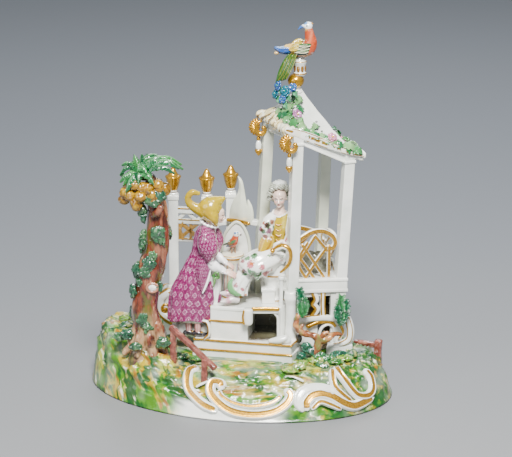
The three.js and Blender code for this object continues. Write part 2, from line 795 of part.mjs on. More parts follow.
function branch() {
  return [
    limb(
      [
        [64, -29, 94], [58.6, -33, 88], [55.4, -35, 82], [56, -37, 74], [61.5, -37, 68.6],
        [69, -37, 67], [76, -37, 63],
        [77, -38, 56], [75, -39, 44],
      ],
      [2.6, 3, 3.2, 3.6, 3.8, 3.8, 4.2, 4.4, 5],
      { steps: 10 },
    ),
    limb(
      [[74, -37, 65], [82, -36, 60], [88, -34, 62], [94, -31, 64], [101, -25, 65]],
      [3.8, 4.2, 3.8, 3.4, 3],
      { steps: 4 },
    ),
    limb([[101, -27, 64], [103, -21, 76], [102.4, -20, 88]], [3.4, 4, 4], { steps: 2 }),
    ball([61.6, -31, 98], [5.6, 6, 13]),
    ball([101.8, -21, 87], [7, 6, 13]),
    ball([74, -37, 45], [14, 8, 7]),
    ball([95, -31, 43], [9, 8, 7]),
  ];
}

function wholeGroup() {
  const lower = unite([mound(), steps(), platform(), cellarWalls()]);
  const opened = lower.subtract(unite([cellarCut(), archCut(), ...cellarHoles()]));
  return unite([
    opened, rocaille(), arbour(), finial(), roofBird(), stool(), parrot(), standingFigure(), seatedFigure(),
    chairArm(), bank(), PIERS.map(pier), balustrade(), tree(), fences(), branch(),
  ]);
}

// Only the outer body is kept: no loose crumbs and no sealed hollows.
function outerBody(solid) {
  const bodies = solid.decompose();
  return bodies.reduce((a, b) => (a.volume() > b.volume() ? a : b));
}

const GLAZE = new THREE.MeshStandardMaterial({ color: 0xeef0ea, roughness: 0.18, metalness: 0 });

function meshOf(solid, name, material) {
  const { vertProperties, triVerts } = solid.getMesh();
  const geometry = new THREE.BufferGeometry();
  geometry.setAttribute("position", new THREE.BufferAttribute(new Float32Array(vertProperties), 3));
  geometry.setIndex(new THREE.BufferAttribute(new Uint32Array(triVerts), 1));
  geometry.computeVertexNormals();
  const mesh = new THREE.Mesh(geometry, material);
  mesh.name = name;
  return mesh;
}

const group = new THREE.Group();
group.add(meshOf(outerBody(wholeGroup()), "figure_group", GLAZE));

export default group;
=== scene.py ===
"""Porcelain figure group: the glazed, enamelled and gilded looks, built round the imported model.

Shapes are worked out in millimetres in the model's own frame: X to the right, Y away from the
viewer and Z up.
"""

import itertools
import math
import random

import bmesh
import bpy
import numpy as np
from mathutils import Matrix, Vector


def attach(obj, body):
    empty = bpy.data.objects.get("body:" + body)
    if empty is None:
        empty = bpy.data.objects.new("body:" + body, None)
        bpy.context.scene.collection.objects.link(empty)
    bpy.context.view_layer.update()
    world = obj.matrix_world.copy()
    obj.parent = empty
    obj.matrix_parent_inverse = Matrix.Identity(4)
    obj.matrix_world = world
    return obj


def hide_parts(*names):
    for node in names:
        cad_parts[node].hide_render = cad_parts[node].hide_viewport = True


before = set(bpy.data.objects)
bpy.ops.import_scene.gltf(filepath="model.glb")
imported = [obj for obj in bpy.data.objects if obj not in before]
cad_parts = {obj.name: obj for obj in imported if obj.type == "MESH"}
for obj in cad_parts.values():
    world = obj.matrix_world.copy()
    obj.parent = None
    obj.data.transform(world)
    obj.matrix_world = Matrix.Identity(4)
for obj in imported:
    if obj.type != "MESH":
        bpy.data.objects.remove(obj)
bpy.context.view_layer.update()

NODE = "figure_group"
MM = 0.001
TAU = 2 * math.pi
UP = (0, 0, 1)
FRONT = (0, -1, 0)


# Shapes


def unit(v):
    v = np.asarray(v, float)
    return v / max(np.linalg.norm(v), 1e-9)


def step(x, low, high):
    """Smooth step from 0 at low to 1 at high."""
    t = np.clip((np.asarray(x, float) - low) / (high - low), 0, 1)
    return t * t * (3 - 2 * t)


def bump(x, middle, width):
    return np.exp(-(((np.asarray(x, float) - middle) / width) ** 2))


class Shape:
    """A closed skin: points, triangles, quads, a UV pair per corner, paint and gilding per point.

    Skins through rings also know each point's place round and along them, from 0 to 1.
    """

    def __init__(self, points, tris=(), quads=(), tri_uv=None, quad_uv=None):
        self.points = np.asarray(points, float).reshape(-1, 3)
        self.tris = np.asarray(tris, int).reshape(-1, 3)
        self.quads = np.asarray(quads, int).reshape(-1, 4)
        self.tri_uv = np.zeros((len(self.tris), 3, 2)) if tri_uv is None else tri_uv
        self.quad_uv = np.zeros((len(self.quads), 4, 2)) if quad_uv is None else quad_uv
        self.tint = np.ones((len(self.points), 3))
        self.gilt = np.zeros(len(self.points))
        self.around = np.zeros(len(self.points))
        self.along = np.zeros(len(self.points))

    def corners(self):
        return np.vstack([self.tris, self.quads[:, [0, 1, 2]], self.quads[:, [0, 2, 3]]])

    def outward(self):
        """Turns the skin round if it was built inside out."""
        a, b, c = (self.points[self.corners()[:, k]] - self.points.mean(0) for k in range(3))
        if np.einsum("ij,ij->i", a, np.cross(b, c)).sum() < 0:
            self.tris, self.quads = self.tris[:, ::-1], self.quads[:, ::-1]
            self.tri_uv, self.quad_uv = self.tri_uv[:, ::-1], self.quad_uv[:, ::-1]
        return self

    def normals(self):
        corners = self.corners()
        a, b, c = (self.points[corners[:, k]] for k in range(3))
        face = np.cross(b - a, c - a)
        total = np.zeros_like(self.points)
        for k in range(3):
            np.add.at(total, corners[:, k], face)
        return total / np.maximum(np.linalg.norm(total, axis=1, keepdims=True), 1e-12)

    def across(self, count=1, phase=0.0):
        """1 and -1 at a sweep's two edges, 0 between them. count repeats that round the skin."""
        return np.cos(self.around * TAU * count + phase)

    def outer(self):
        """1 on the side of a sweep that its normal points to, and -1 on the other."""
        return np.sin(self.around * TAU)

    def push(self, amount):
        """Moves each point out along its normal."""
        self.points = self.points + self.normals() * np.asarray(amount, float).reshape(-1, 1)
        return self

    def colour(self, tint, share=1.0):
        share = np.broadcast_to(np.asarray(share, float), len(self.points)).reshape(-1, 1)
        self.tint = self.tint * (1 - share) + np.asarray(tint, float) * share
        return self

    def gild(self, share=1.0):
        self.gilt = np.maximum(self.gilt, share)
        return self


def join(*shapes):
    """Several shapes, also in lists, as one."""
    flat = []
    for s in shapes:
        flat += [join(*s)] if isinstance(s, (list, tuple)) else [s]
    starts = np.cumsum([0] + [len(s.points) for s in flat])
    whole = Shape(
        np.vstack([s.points for s in flat]),
        np.vstack([s.tris + n for s, n in zip(flat, starts)]),
        np.vstack([s.quads + n for s, n in zip(flat, starts)]),
        np.vstack([s.tri_uv for s in flat]),
        np.vstack([s.quad_uv for s in flat]),
    )
    whole.tint = np.vstack([s.tint for s in flat])
    whole.gilt = np.concatenate([s.gilt for s in flat])
    return whole


def skin(rings):
    """A skin through closed rings of equally many points, with UV round and along them."""
    rings = np.asarray(rings, float)
    rows, cols = rings.shape[:2]
    points = np.vstack([rings.reshape(-1, 3), rings[0].mean(0), rings[-1].mean(0)])
    i, j = (a.ravel() for a in np.meshgrid(np.arange(rows - 1), np.arange(cols), indexing="ij"))
    k = (j + 1) % cols
    quads = np.stack([i * cols + j, i * cols + k, (i + 1) * cols + k, (i + 1) * cols + j], 1)
    u0, u1, v0, v1 = j / cols, (j + 1) / cols, i / (rows - 1), (i + 1) / (rows - 1)
    quad_uv = np.stack([np.stack(pair, 1) for pair in ((u0, v0), (u1, v0), (u1, v1), (u0, v1))], 1)
    j = np.arange(cols)
    k = (j + 1) % cols
    last = (rows - 1) * cols
    first_cap = np.stack([np.full(cols, rows * cols), k, j], 1)
    last_cap = np.stack([np.full(cols, rows * cols + 1), last + j, last + k], 1)
    cap_uv = np.stack([np.stack([(2 * j + 1) / (2 * cols)] * 3, 1), np.zeros((cols, 3))], 2)
    tri_uv = np.vstack([cap_uv, cap_uv + (0, 1)])
    shape = Shape(points, np.vstack([first_cap, last_cap]), quads, tri_uv, quad_uv)
    shape.around = np.append(np.tile(np.arange(cols) / cols, rows), (0, 0))
    shape.along = np.append(np.repeat(np.arange(rows) / (rows - 1), cols), (0, 1))
    return shape.outward()


def spline(points, count):
    """Evenly spaced places on a smooth curve through points of any dimension."""
    p = np.asarray(points, float)
    p = p.reshape(len(p), -1)
    p = np.vstack([2 * p[0] - p[1], p, 2 * p[-1] - p[-2]])
    t = np.linspace(0, len(p) - 3, count)
    k = np.minimum(t.astype(int), len(p) - 4)
    f = (t - k)[:, None]
    a, b, c, d = p[k], p[k + 1], p[k + 2], p[k + 3]
    return 0.5 * (2 * b + (c - a) * f + (2 * a - 5 * b + 4 * c - d) * f**2
                  + (3 * b - a - 3 * c + d) * f**3)


def carry(path, up):
    """Directions along a path, normals carried along it or given at each place, and the sides."""
    along = np.gradient(path, axis=0)
    along /= np.maximum(np.linalg.norm(along, axis=1, keepdims=True), 1e-9)
    normals = np.zeros_like(path)
    given = np.asarray(up, float)
    current = given if given.ndim == 1 else None
    for i, t in enumerate(along):
        n = given[i] if current is None else current
        n = unit(n - t * np.dot(n, t))
        normals[i] = n
        current = n if given.ndim == 1 else None
    return along, normals, np.cross(along, normals)


def sweep(points, radii, sides, count, up=UP, section=None, cap=0.8):
    """A bar along a smooth path. A radius is one number or a pair: across and along the normal.

    section(angles, shares) may return the two offsets of a section of its own, in radii.
    """
    path = spline(points, count)
    r = spline(radii, count)
    wide, high = r[:, :1], r[:, -1:]
    along, normals, side = carry(path, spline(up, count) if np.ndim(up) == 2 else up)
    angles = np.linspace(0, TAU, sides, endpoint=False)[None, :]
    shares = np.linspace(0, 1, count)[:, None]
    a, b = section(angles, shares) if section else (np.cos(angles), np.sin(angles))
    sideways = (a * wide)[..., None] * side[:, None]
    outwards = (b * high)[..., None] * normals[:, None]
    rings = path[:, None] + sideways + outwards
    if cap:
        rings = np.vstack([end_cap(rings[0], path[0], -along[0], cap)[::-1], rings,
                           end_cap(rings[-1], path[-1], along[-1], cap)])
    return skin(rings)


CAP_TURNS = np.radians((30, 55, 75))


def end_cap(ring, middle, outwards, length):
    """The rings that round off an end of a sweep."""
    reach = np.linalg.norm(ring - middle, axis=1).mean() * length
    return np.stack([middle + (ring - middle) * math.cos(a) + outwards * reach * math.sin(a)
                     for a in CAP_TURNS])


def lathe(profile, centre, sides, smooth=4):
    """A turned piece on an upright axis, from pairs of radius and height."""
    curve = spline(profile, smooth * (len(profile) - 1)
                   + 1) if smooth else np.asarray(profile, float)
    angles = np.linspace(0, TAU, sides, endpoint=False)
    x = centre[0] + curve[:, :1] * np.cos(angles)
    y = centre[1] + curve[:, :1] * np.sin(angles)
    return skin(np.stack([x, y, np.broadcast_to(curve[:, 1:], x.shape)], 2))


POLE_GAP = 0.12  # how far a ball's first and last rings stay from its poles, in radians


def ball(centre, radii, sides, turn=None):
    radii = np.broadcast_to(np.asarray(radii, float), 3)
    tilt = np.linspace(-math.pi / 2 + POLE_GAP, math.pi / 2 - POLE_GAP, max(sides // 2, 5))
    angles = np.linspace(0, TAU, sides, endpoint=False)
    rings = np.stack([np.outer(np.cos(tilt), np.cos(angles)),
                      np.outer(np.cos(tilt), np.sin(angles)),
                      np.outer(np.sin(tilt), np.ones(sides))], 2) * radii
    if turn is not None:
        rings = rings @ np.asarray(turn).T
    return skin(rings + np.asarray(centre, float))


def turn_about(axis, degrees):
    return np.array(Matrix.Rotation(math.radians(degrees), 3, Vector(axis)))


SHARP_ANGLE = 0.35  # an edge that turns by more radians than this is rounded
BEVEL_SEGMENTS = 3


def from_bmesh(bm, bevel):
    """A hard-edged solid with its edges rounded, as a shape."""
    bmesh.ops.recalc_face_normals(bm, faces=bm.faces)
    sharp = [e for e in bm.edges if len(e.link_faces) == 2 and e.calc_face_angle() > SHARP_ANGLE]
    bmesh.ops.bevel(bm, geom=sharp, offset=bevel, segments=BEVEL_SEGMENTS, profile=0.5,
                    affect="EDGES", clamp_overlap=True)
    bmesh.ops.triangulate(bm, faces=bm.faces)
    bm.verts.index_update()
    shape = Shape([v.co[:] for v in bm.verts], [[v.index for v in f.verts] for f in bm.faces])
    bm.free()
    return shape


def block(bottom, top, bevel):
    """A solid between two outlines of equally many points, bottom and top."""
    bm = bmesh.new()
    low = [bm.verts.new(p) for p in bottom]
    high = [bm.verts.new(p) for p in top]
    bm.faces.new(low[::-1])
    bm.faces.new(high)
    for k in range(len(low)):
        n = (k + 1) % len(low)
        bm.faces.new((low[k], low[n], high[n], high[k]))
    return from_bmesh(bm, bevel)


def slab(corners, low, high, bevel):
    return block([(x, y, low) for x, y in corners], [(x, y, high) for x, y in corners], bevel)


def plank(start, end, width, depth, out, bevel):
    """A straight bar of rectangular section. out is the direction its depth stands in."""
    start, end = np.asarray(start, float), np.asarray(end, float)
    along = unit(end - start)
    out = unit(np.asarray(out, float) - along * np.dot(out, along))
    side = np.cross(along, out)
    ends = [[p + side * a * width / 2 + out * b * depth / 2 for a,
             b in ((1, 1), (-1, 1), (-1, -1), (1, -1))] for p in (start, end)]
    return block(*ends, bevel)


def flat_section(rounding):
    """A section close to a rectangle with rounded corners."""
    def section(angles, shares):
        c, s = np.cos(angles), np.sin(angles)
        return np.sign(c) * np.abs(c) ** rounding, np.sign(s) * np.abs(s) ** rounding
    return section


NOISE_PRIMES = (73856093, 19349663, 83492791)
NOISE_ROUNDS = ((13, 1274126177), (16, 73244475))
NOISE_BITS = 0xFFFFFFFF
NOISE_ORIGIN = 1000.0  # keeps the cells' numbers above 0


def noise_at(points, size, seed):
    """Smooth noise from -1 to 1 with lumps of about the given size, the same on every machine."""
    p = np.asarray(points, float) / size + NOISE_ORIGIN + seed * 7.7
    cell = np.floor(p).astype(np.int64)
    f = p - cell
    f = f * f * (3 - 2 * f)
    total = np.zeros(len(p))
    for corner in itertools.product((0, 1), repeat=3):
        h = np.bitwise_xor.reduce((cell + corner) * NOISE_PRIMES, axis=1) ^ (seed * 2654435 + 97)
        for shift, factor in NOISE_ROUNDS:
            h = (h ^ (h >> shift)) * factor & NOISE_BITS
        weight = np.prod(np.where(corner, f, 1 - f), axis=1)
        total += weight * (h / (NOISE_BITS >> 1) - 1)
    return total


def layered_noise(points, size, seed, layers=3):
    """Noise in layers, each half as large and half as strong as the one before."""
    return sum(noise_at(points, size / 2**k, seed + k) / 2**k for k in range(layers))


def read(items, field, width=1, kind=int):
    """One field of all of a mesh's items."""
    values = np.zeros(len(items) * width, kind)
    items.foreach_get(field, values)
    return values


def fuse(shapes, voxel, rounds):
    """Shapes melted into one skin, as slip does, through a voxel grid."""
    mesh = write_mesh("melt", join(shapes))
    thing = bpy.data.objects.new("melt", mesh)
    bpy.context.scene.collection.objects.link(thing)
    remesh = thing.modifiers.new("voxels", "REMESH")
    remesh.mode = "VOXEL"
    remesh.voxel_size = voxel * MM
    ease = thing.modifiers.new("ease", "SMOOTH")
    ease.iterations = rounds
    ease.factor = 0.5
    graph = bpy.context.evaluated_depsgraph_get()
    result = bpy.data.meshes.new_from_object(thing.evaluated_get(graph))
    points = read(result.vertices, "co", 3, float)
    starts, sizes = read(result.polygons, "loop_start"), read(result.polygons, "loop_total")
    loops = read(result.loops, "vertex_index")
    tris, quads = ([loops[s : s + n] for s in starts[sizes == n]] for n in (3, 4))
    bpy.data.objects.remove(thing)
    bpy.data.meshes.remove(mesh)
    bpy.data.meshes.remove(result)
    return Shape(points / MM, tris, quads)


def write_mesh(name, shape):
    mesh = bpy.data.meshes.new(name)
    mesh.vertices.add(len(shape.points))
    mesh.vertices.foreach_set("co", (shape.points * MM).ravel())
    loops = np.concatenate([shape.tris.ravel(), shape.quads.ravel()])
    sizes = np.concatenate([np.full(len(shape.tris), 3), np.full(len(shape.quads), 4)])
    mesh.loops.add(len(loops))
    mesh.loops.foreach_set("vertex_index", loops)
    mesh.polygons.add(len(sizes))
    mesh.polygons.foreach_set("loop_start", np.concatenate([[0], np.cumsum(sizes)[:-1]]))
    mesh.update(calc_edges=True)
    uv = mesh.uv_layers.new(name="wrap")
    uv.data.foreach_set("uv", np.concatenate([shape.tri_uv.ravel(), shape.quad_uv.ravel()]))
    tint = mesh.color_attributes.new("tint", "FLOAT_COLOR", "POINT")
    tint.data.foreach_set("color", np.hstack([shape.tint, np.ones((len(shape.points), 1))]).ravel())
    gilt = mesh.attributes.new("gilt", "FLOAT", "POINT")
    gilt.data.foreach_set("value", shape.gilt)
    mesh.validate()
    return mesh


# The share of its triangles that a finely divided piece keeps.
THINNED = {
    "ground": 0.85, "rocaille_scrolls": 0.45, "step_scrolls": 0.6,
    "step_gilding": 0.6, "shade_lump": 0.6,
    "arbour_lattice": 0.5, "arbour_gilding": 0.6, "eaves": 0.55, "roof_garland": 0.6,
    "eave_brackets": 0.65,
    "roof_bird": 0.7, "parrot": 0.75, "shell_flame": 0.6, "fences": 0.6,
    "tree_trunk": 0.65, "tree_crown": 0.6,
    "tree_knot_and_moss": 0.42, "branch_and_foliage": 0.38, "lawn_tufts": 0.6,
    "coat_whites": 0.6, "cap": 0.6,
    "standing_trim": 0.7, "standing_hands": 0.6, "seated_hands": 0.6, "seated_skirt": 0.75,
    "seated_bodice": 0.7,
    "seated_hair": 0.7,
}


def build(name, material, *shapes, hard=False):
    """Makes one piece of the group. Hard pieces keep flat faces flat between rounded edges."""
    mesh = write_mesh(name, join(*shapes))
    mesh.materials.append(material)
    mesh.polygons.foreach_set("use_smooth", np.ones(len(mesh.polygons), bool))
    piece = bpy.data.objects.new(name, mesh)
    bpy.context.scene.collection.objects.link(piece)
    if name in THINNED:
        piece.modifiers.new("thinned", "DECIMATE").ratio = THINNED[name]
    if hard:
        piece.modifiers.new("flat_faces", "WEIGHTED_NORMAL").keep_sharp = True
    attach(piece, "root")
    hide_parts(NODE)


# Materials

WHITE = (0.83, 0.84, 0.79)
WHITE_COOL = (0.68, 0.71, 0.65)
GOLD = (0.64, 0.34, 0.02)
GOLD_DEEP = (0.3, 0.13, 0.005)
GREEN_DARK = (0.0, 0.05, 0.02)
YELLOW = (0.62, 0.36, 0.0)
GLAZE_IOR = 1.5
COAT_ROUGHNESS = 0.05


class Paint:
    """A glazed material, with short calls for the nodes that it uses."""

    def __init__(self, name, roughness, coat):
        self.material = bpy.data.materials.new(name)
        self.material.use_nodes = True
        self.tree = self.material.node_tree
        self.shader = self.tree.nodes["Principled BSDF"]
        for socket, value in (("Roughness", roughness), ("Coat Weight", coat),
                              ("Coat Roughness", COAT_ROUGHNESS), ("IOR", GLAZE_IOR)):
            self.shader.inputs[socket].default_value = value

    def node(self, kind, settings=(), **sockets):
        made = self.tree.nodes.new("ShaderNode" + kind)
        for key, value in dict(settings).items():
            setattr(made, key, value)
        for key, value in sockets.items():
            self.plug(made.inputs[key.replace("_", " ")], value)
        return made

    def plug(self, socket, value):
        if isinstance(value, bpy.types.NodeSocket):
            self.tree.links.new(value, socket)
        elif socket.type == "RGBA" and len(value) == 3:
            socket.default_value = (*value, 1)
        else:
            socket.default_value = value

    def math(self, operation, a, b=0.0, clamp=False):
        made = self.tree.nodes.new("ShaderNodeMath")
        made.operation = operation
        made.use_clamp = clamp
        self.plug(made.inputs[0], a)
        self.plug(made.inputs[1], b)
        return made.outputs[0]

    def plus(self, a, b, clamp=False):
        return self.math("ADD", a, b, clamp)

    def times(self, a, b):
        return self.math("MULTIPLY", a, b)

    def apart(self, a, b):
        """How far two values are apart."""
        return self.math("ABSOLUTE", self.math("SUBTRACT", a, b))

    def ease(self, x, low, high):
        """0 below low and 1 above high, or the other way round if low is the larger."""
        made = self.tree.nodes.new("ShaderNodeMapRange")
        made.interpolation_type = "SMOOTHSTEP"
        for key, value in (("Value", x), ("From Min", low), ("From Max", high)):
            self.plug(made.inputs[key], value)
        return made.outputs[0]

    def mix(self, share, a, b, blend="MIX"):
        made = self.tree.nodes.new("ShaderNodeMix")
        made.data_type = "RGBA"
        made.blend_type = blend
        self.plug(made.inputs[0], share)
        self.plug(made.inputs[6], a)
        self.plug(made.inputs[7], b)
        return made.outputs[2]

    def cover(self, colour, tint, share, strength):
        """A colour with a tint over a share of it, at a strength."""
        return self.mix(self.times(share, strength), colour, tint)

    def blend(self, share, a, b):
        """A number between two others."""
        made = self.tree.nodes.new("ShaderNodeMix")
        self.plug(made.inputs[0], share)
        self.plug(made.inputs[2], a)
        self.plug(made.inputs[3], b)
        return made.outputs[0]

    def place(self, turn=(0, 0, 0), scale=(1, 1, 1), wrap=False):
        """The surface's place in the model's frame, or its UV, turned and then stretched."""
        source = self.node("TexCoord").outputs["UV" if wrap else "Object"]
        angles = tuple(math.radians(a) for a in turn)
        stretch = tuple(1 / s for s in scale)
        return self.node("Mapping", {"vector_type": "TEXTURE"}, Vector=source, Rotation=angles,
                         Scale=stretch).outputs[0]

    def noise(self, scale, detail=3.0, where=None, roughness=0.5, distortion=0.0):
        where = where or self.place()
        made = self.node("TexNoise", Vector=where, Scale=scale, Detail=detail, Roughness=roughness,
                         Distortion=distortion)
        return made.outputs["Fac"]

    def tint(self):
        return self.node("VertexColor", {"layer_name": "tint"}).outputs["Color"]

    def gilt(self):
        return self.node("Attribute", {"attribute_name": "gilt"}).outputs["Fac"]

    def finish(self, colour, gilt=None, relief=None, relief_depth=0.3, roughness=0.2):
        """Sets the colour, the gilding over it and the fine relief, a height in millimetres."""
        if gilt is not None:
            worn = self.noise(900, 3)
            gold = self.mix(self.ease(worn, 0.3, 0.62), GOLD_DEEP, GOLD)
            covered = self.ease(self.plus(gilt, self.times(worn, 0.25)), 0.5, 0.75)
            colour = self.mix(covered, colour, gold)
            self.plug(self.shader.inputs["Metallic"], self.times(covered, 0.7))
            self.plug(self.shader.inputs["Roughness"], self.blend(covered, roughness, 0.3))
        self.plug(self.shader.inputs["Base Color"], colour)
        if relief is not None:
            made = self.node("Bump", Strength=1.0, Distance=relief_depth * MM, Height=relief)
            self.plug(self.shader.inputs["Normal"], made.outputs[0])
        return self.material


def glaze():
    """White porcelain: cooler where the glaze has pooled, and gilded where the piece says so."""
    p = Paint("white_glaze", roughness=0.16, coat=1.0)
    pooled = p.ease(p.noise(38, 2), 0.35, 0.7)
    specks = p.ease(p.noise(1500, 2), 0.74, 0.8)
    colour = p.cover(p.mix(pooled, WHITE, WHITE_COOL), (0.45, 0.4, 0.32), specks, 0.35)
    # The piece's tint multiplies in here; on the far posts and the shell flame it is painted shade.
    colour = p.mix(1.0, colour, p.tint(), "MULTIPLY")
    relief = p.plus(p.noise(90, 2), p.times(p.noise(420, 2), 0.2))
    return p.finish(colour, p.gilt(), relief, 0.35, roughness=0.16)


def enamel(name):
    """Painted enamel: the piece's own tints, thinner and darker along brush marks, over white."""
    p = Paint(name, roughness=0.2, coat=0.9)
    own = p.tint()
    brush = p.noise(260, 4, p.place((20, 35, 10), (1, 0.35, 1)), 0.65)
    thick = p.mix(p.ease(brush, 0.45, 0.85), own, p.mix(0.35, own, (0, 0, 0)))
    thin = p.cover(thick, WHITE, p.ease(brush, 0.42, 0.2), 0.45)
    return p.finish(thin, p.gilt(), p.noise(500, 3), 0.25, roughness=0.2)


def gilding():
    """Burnished gold over porcelain, worn to brown in patches."""
    p = Paint("burnished_gold", roughness=0.22, coat=0.5)
    worn = p.noise(260, 4)
    colour = p.mix(p.ease(worn, 0.22, 0.5), GOLD_DEEP, GOLD)
    p.plug(p.shader.inputs["Metallic"], 0.82)
    p.plug(p.shader.inputs["Roughness"], p.blend(p.noise(420, 3), 0.15, 0.3))
    return p.finish(colour, relief=p.noise(110, 2), relief_depth=0.12)


def ground_paint():
    """The rocky ground: soft brush strokes of green, yellow and orange over white glaze.

    The strokes run down the bank on the left and level elsewhere. The tint's first channel says
    how much is painted, and the second where it is deep green.
    """
    p = Paint("painted_ground", roughness=0.3, coat=0.35)
    spot = p.node("SeparateXYZ", Vector=p.place()).outputs
    level = p.ease(spot["X"], -0.075, -0.03)
    masks = p.node("SeparateColor", Color=p.tint()).outputs
    high = p.ease(spot["Z"], 0.012, 0.045)

    def strokes(scale, seed, reach, soft=0.12):
        slanted = p.noise(scale, 4, p.place((seed, 56, -34), (0.17, 1, 1)), 0.5, 0.4)
        flat = p.noise(scale, 4, p.place((seed, -8, -14), (0.2, 1, 1.1)), 0.5, 0.4)
        patchy = p.times(p.math("SUBTRACT", p.noise(26, 2, p.place((seed, 0, seed))), 0.5), 0.6)
        return p.ease(p.plus(p.blend(level, slanted, flat), patchy), reach, reach + soft)

    colour = p.mix(strokes(110, 10, 0.36, 0.14), (0.8, 0.82, 0.66), (0.36, 0.4, 0.05))
    for scale, seed, reach, strength, tint in (
        (95, 30, 0.43, 0.92, (0.4, 0.28, 0.0)),
        (120, 50, 0.53, 0.9, (0.26, 0.09, 0.002)),
        (100, 70, 0.46, 0.95, (0.045, 0.19, 0.003)),
        (170, 130, 0.6, 0.55, (0.7, 0.74, 0.42)),
    ):
        colour = p.cover(colour, tint, strokes(scale, seed, reach, 0.1), strength)
    deep_green = p.times(masks[1], p.ease(p.noise(150, 3), 0.4, 0.55))
    colour = p.cover(colour, (0.0, 0.07, 0.006),
                     p.plus(strokes(110, 90, 0.5, 0.1), deep_green, True), 0.95)
    colour = p.cover(colour, (0.0, 0.035, 0.012), strokes(150, 110, 0.55), high)
    relief = p.plus(p.noise(210, 4), p.times(strokes(140, 70, 0.44), 0.2))
    return p.finish(p.mix(masks[0], WHITE, colour), None, relief, 0.42)


def bark():
    """Rust-brown bark with pale runs and green stains."""
    p = Paint("bark_enamel", roughness=0.2, coat=1.0)
    grain = p.noise(130, 5, p.place(scale=(1, 1, 0.2)), 0.65, 0.6)
    blotch = p.noise(75, 3, p.place(scale=(1, 1, 0.45)))
    colour = p.mix(p.ease(grain, 0.38, 0.6), (0.05, 0.01, 0.005), (0.19, 0.036, 0.014))
    colour = p.mix(p.ease(blotch, 0.5, 0.62), colour, (0.28, 0.1, 0.05))
    colour = p.cover(colour, (0.6, 0.42, 0.24), p.ease(grain, 0.6, 0.68), 0.8)
    stain = p.noise(60, 4, p.place((0, 0, 40), (1, 1, 0.5)), 0.6, 0.5)
    colour = p.cover(colour, (0.07, 0.09, 0.01), p.ease(stain, 0.53, 0.62), 0.8)
    low = p.ease(p.node("SeparateXYZ", Vector=p.place()).outputs["Z"], 0.105, 0.06)
    colour = p.cover(colour, (0.42, 0.26, 0.13), low, p.ease(blotch, 0.42, 0.58))
    return p.finish(colour, relief=grain, relief_depth=0.9)


def brocade():
    """Magenta silk: pale lozenges with dark dots and light scribbles between them, laid by UV."""
    p = Paint("magenta_brocade", roughness=0.16, coat=1.0)
    cells = p.node("SeparateXYZ", Vector=p.place(scale=(20, 12, 1), wrap=True)).outputs
    shifted = p.plus(cells["X"], p.times(p.math("FLOOR", cells["Y"]), 0.5))
    across = p.apart(p.math("FRACT", shifted), 0.5)
    along = p.apart(p.math("FRACT", cells["Y"]), 0.5)
    wobble = p.times(p.math("SUBTRACT", p.noise(420, 2), 0.5), 0.4)
    lozenge = p.plus(p.plus(p.times(across, 2.3), p.times(along, 2.0)), wobble)
    ring = p.apart(lozenge, 0.66)
    dots = p.plus(p.apart(across, 0.11), p.apart(along, 0.1))
    scribble = p.apart(p.noise(300, 3, distortion=0.8), 0.5)
    colour = p.mix(p.noise(70, 3), (0.1, 0.001, 0.04), (0.21, 0.012, 0.1))
    pale = (0.5, 0.17, 0.33)
    for tint, share, strength in (
        (pale, p.ease(scribble, 0.035, 0.01), 0.5),
        (pale, p.ease(lozenge, 0.6, 0.5), 0.3),
        ((0.76, 0.43, 0.6), p.ease(ring, 0.085, 0.045), 0.85),
        ((0.04, 0.0, 0.015), p.ease(dots, 0.085, 0.05), 0.9),
    ):
        colour = p.cover(colour, tint, share, strength)
    return p.finish(colour, p.gilt(), p.noise(350, 3), 0.25)


def chintz():
    """White cloth strewn with pink, purple and red flowers between green leaves."""
    p = Paint("flowered_cotton", roughness=0.17, coat=1.0)
    colour = p.mix(p.ease(p.noise(60, 2), 0.4, 0.7), WHITE, (0.74, 0.76, 0.72))
    for turn, reach, tint, scale in (
        (0, 0.34, (0.03, 0.17, 0.04), 78),
        (30, 0.36, (0.42, 0.06, 0.09), 74),
        (60, 0.3, (0.16, 0.03, 0.13), 84),
        (85, 0.26, (0.42, 0.1, 0.01), 100),
    ):
        where = p.place((turn, 2 * turn, 3 * turn))
        cells = p.node("TexVoronoi", Vector=where, Scale=scale)
        ragged = p.times(p.noise(700, 2), 0.42)
        mark = p.ease(p.plus(cells.outputs["Distance"], ragged), reach + 0.2, reach + 0.14)
        keep = p.ease(p.node("SeparateColor", Color=cells.outputs["Color"]).outputs[0], 0.5, 0.48)
        colour = p.cover(colour, tint, p.times(mark, keep), 0.9)
    colour = p.mix(1.0, colour, p.tint(), "MULTIPLY")
    return p.finish(colour, p.gilt(), p.noise(300, 3), 0.25)


def timber():
    """The fences' pinkish brown, streaked along the grain."""
    p = Paint("fence_enamel", roughness=0.22, coat=0.9)
    grain = p.noise(200, 4, p.place((0, 30, 40), (0.3, 1, 1)), 0.6)
    colour = p.mix(p.ease(grain, 0.35, 0.7), (0.12, 0.025, 0.015), (0.3, 0.09, 0.06))
    colour = p.cover(colour, (0.5, 0.25, 0.17), p.ease(p.noise(90), 0.55, 0.68), 0.6)
    return p.finish(colour, relief=grain, relief_depth=0.5)


# Ground and rocaille

BASE_LONG, BASE_SHORT, BASE_TURN = 156, 104, math.radians(-15)
LAWN, HILL, RIGHT_RISE, BANK_POWER = 41, 17, 1.5, 2.2


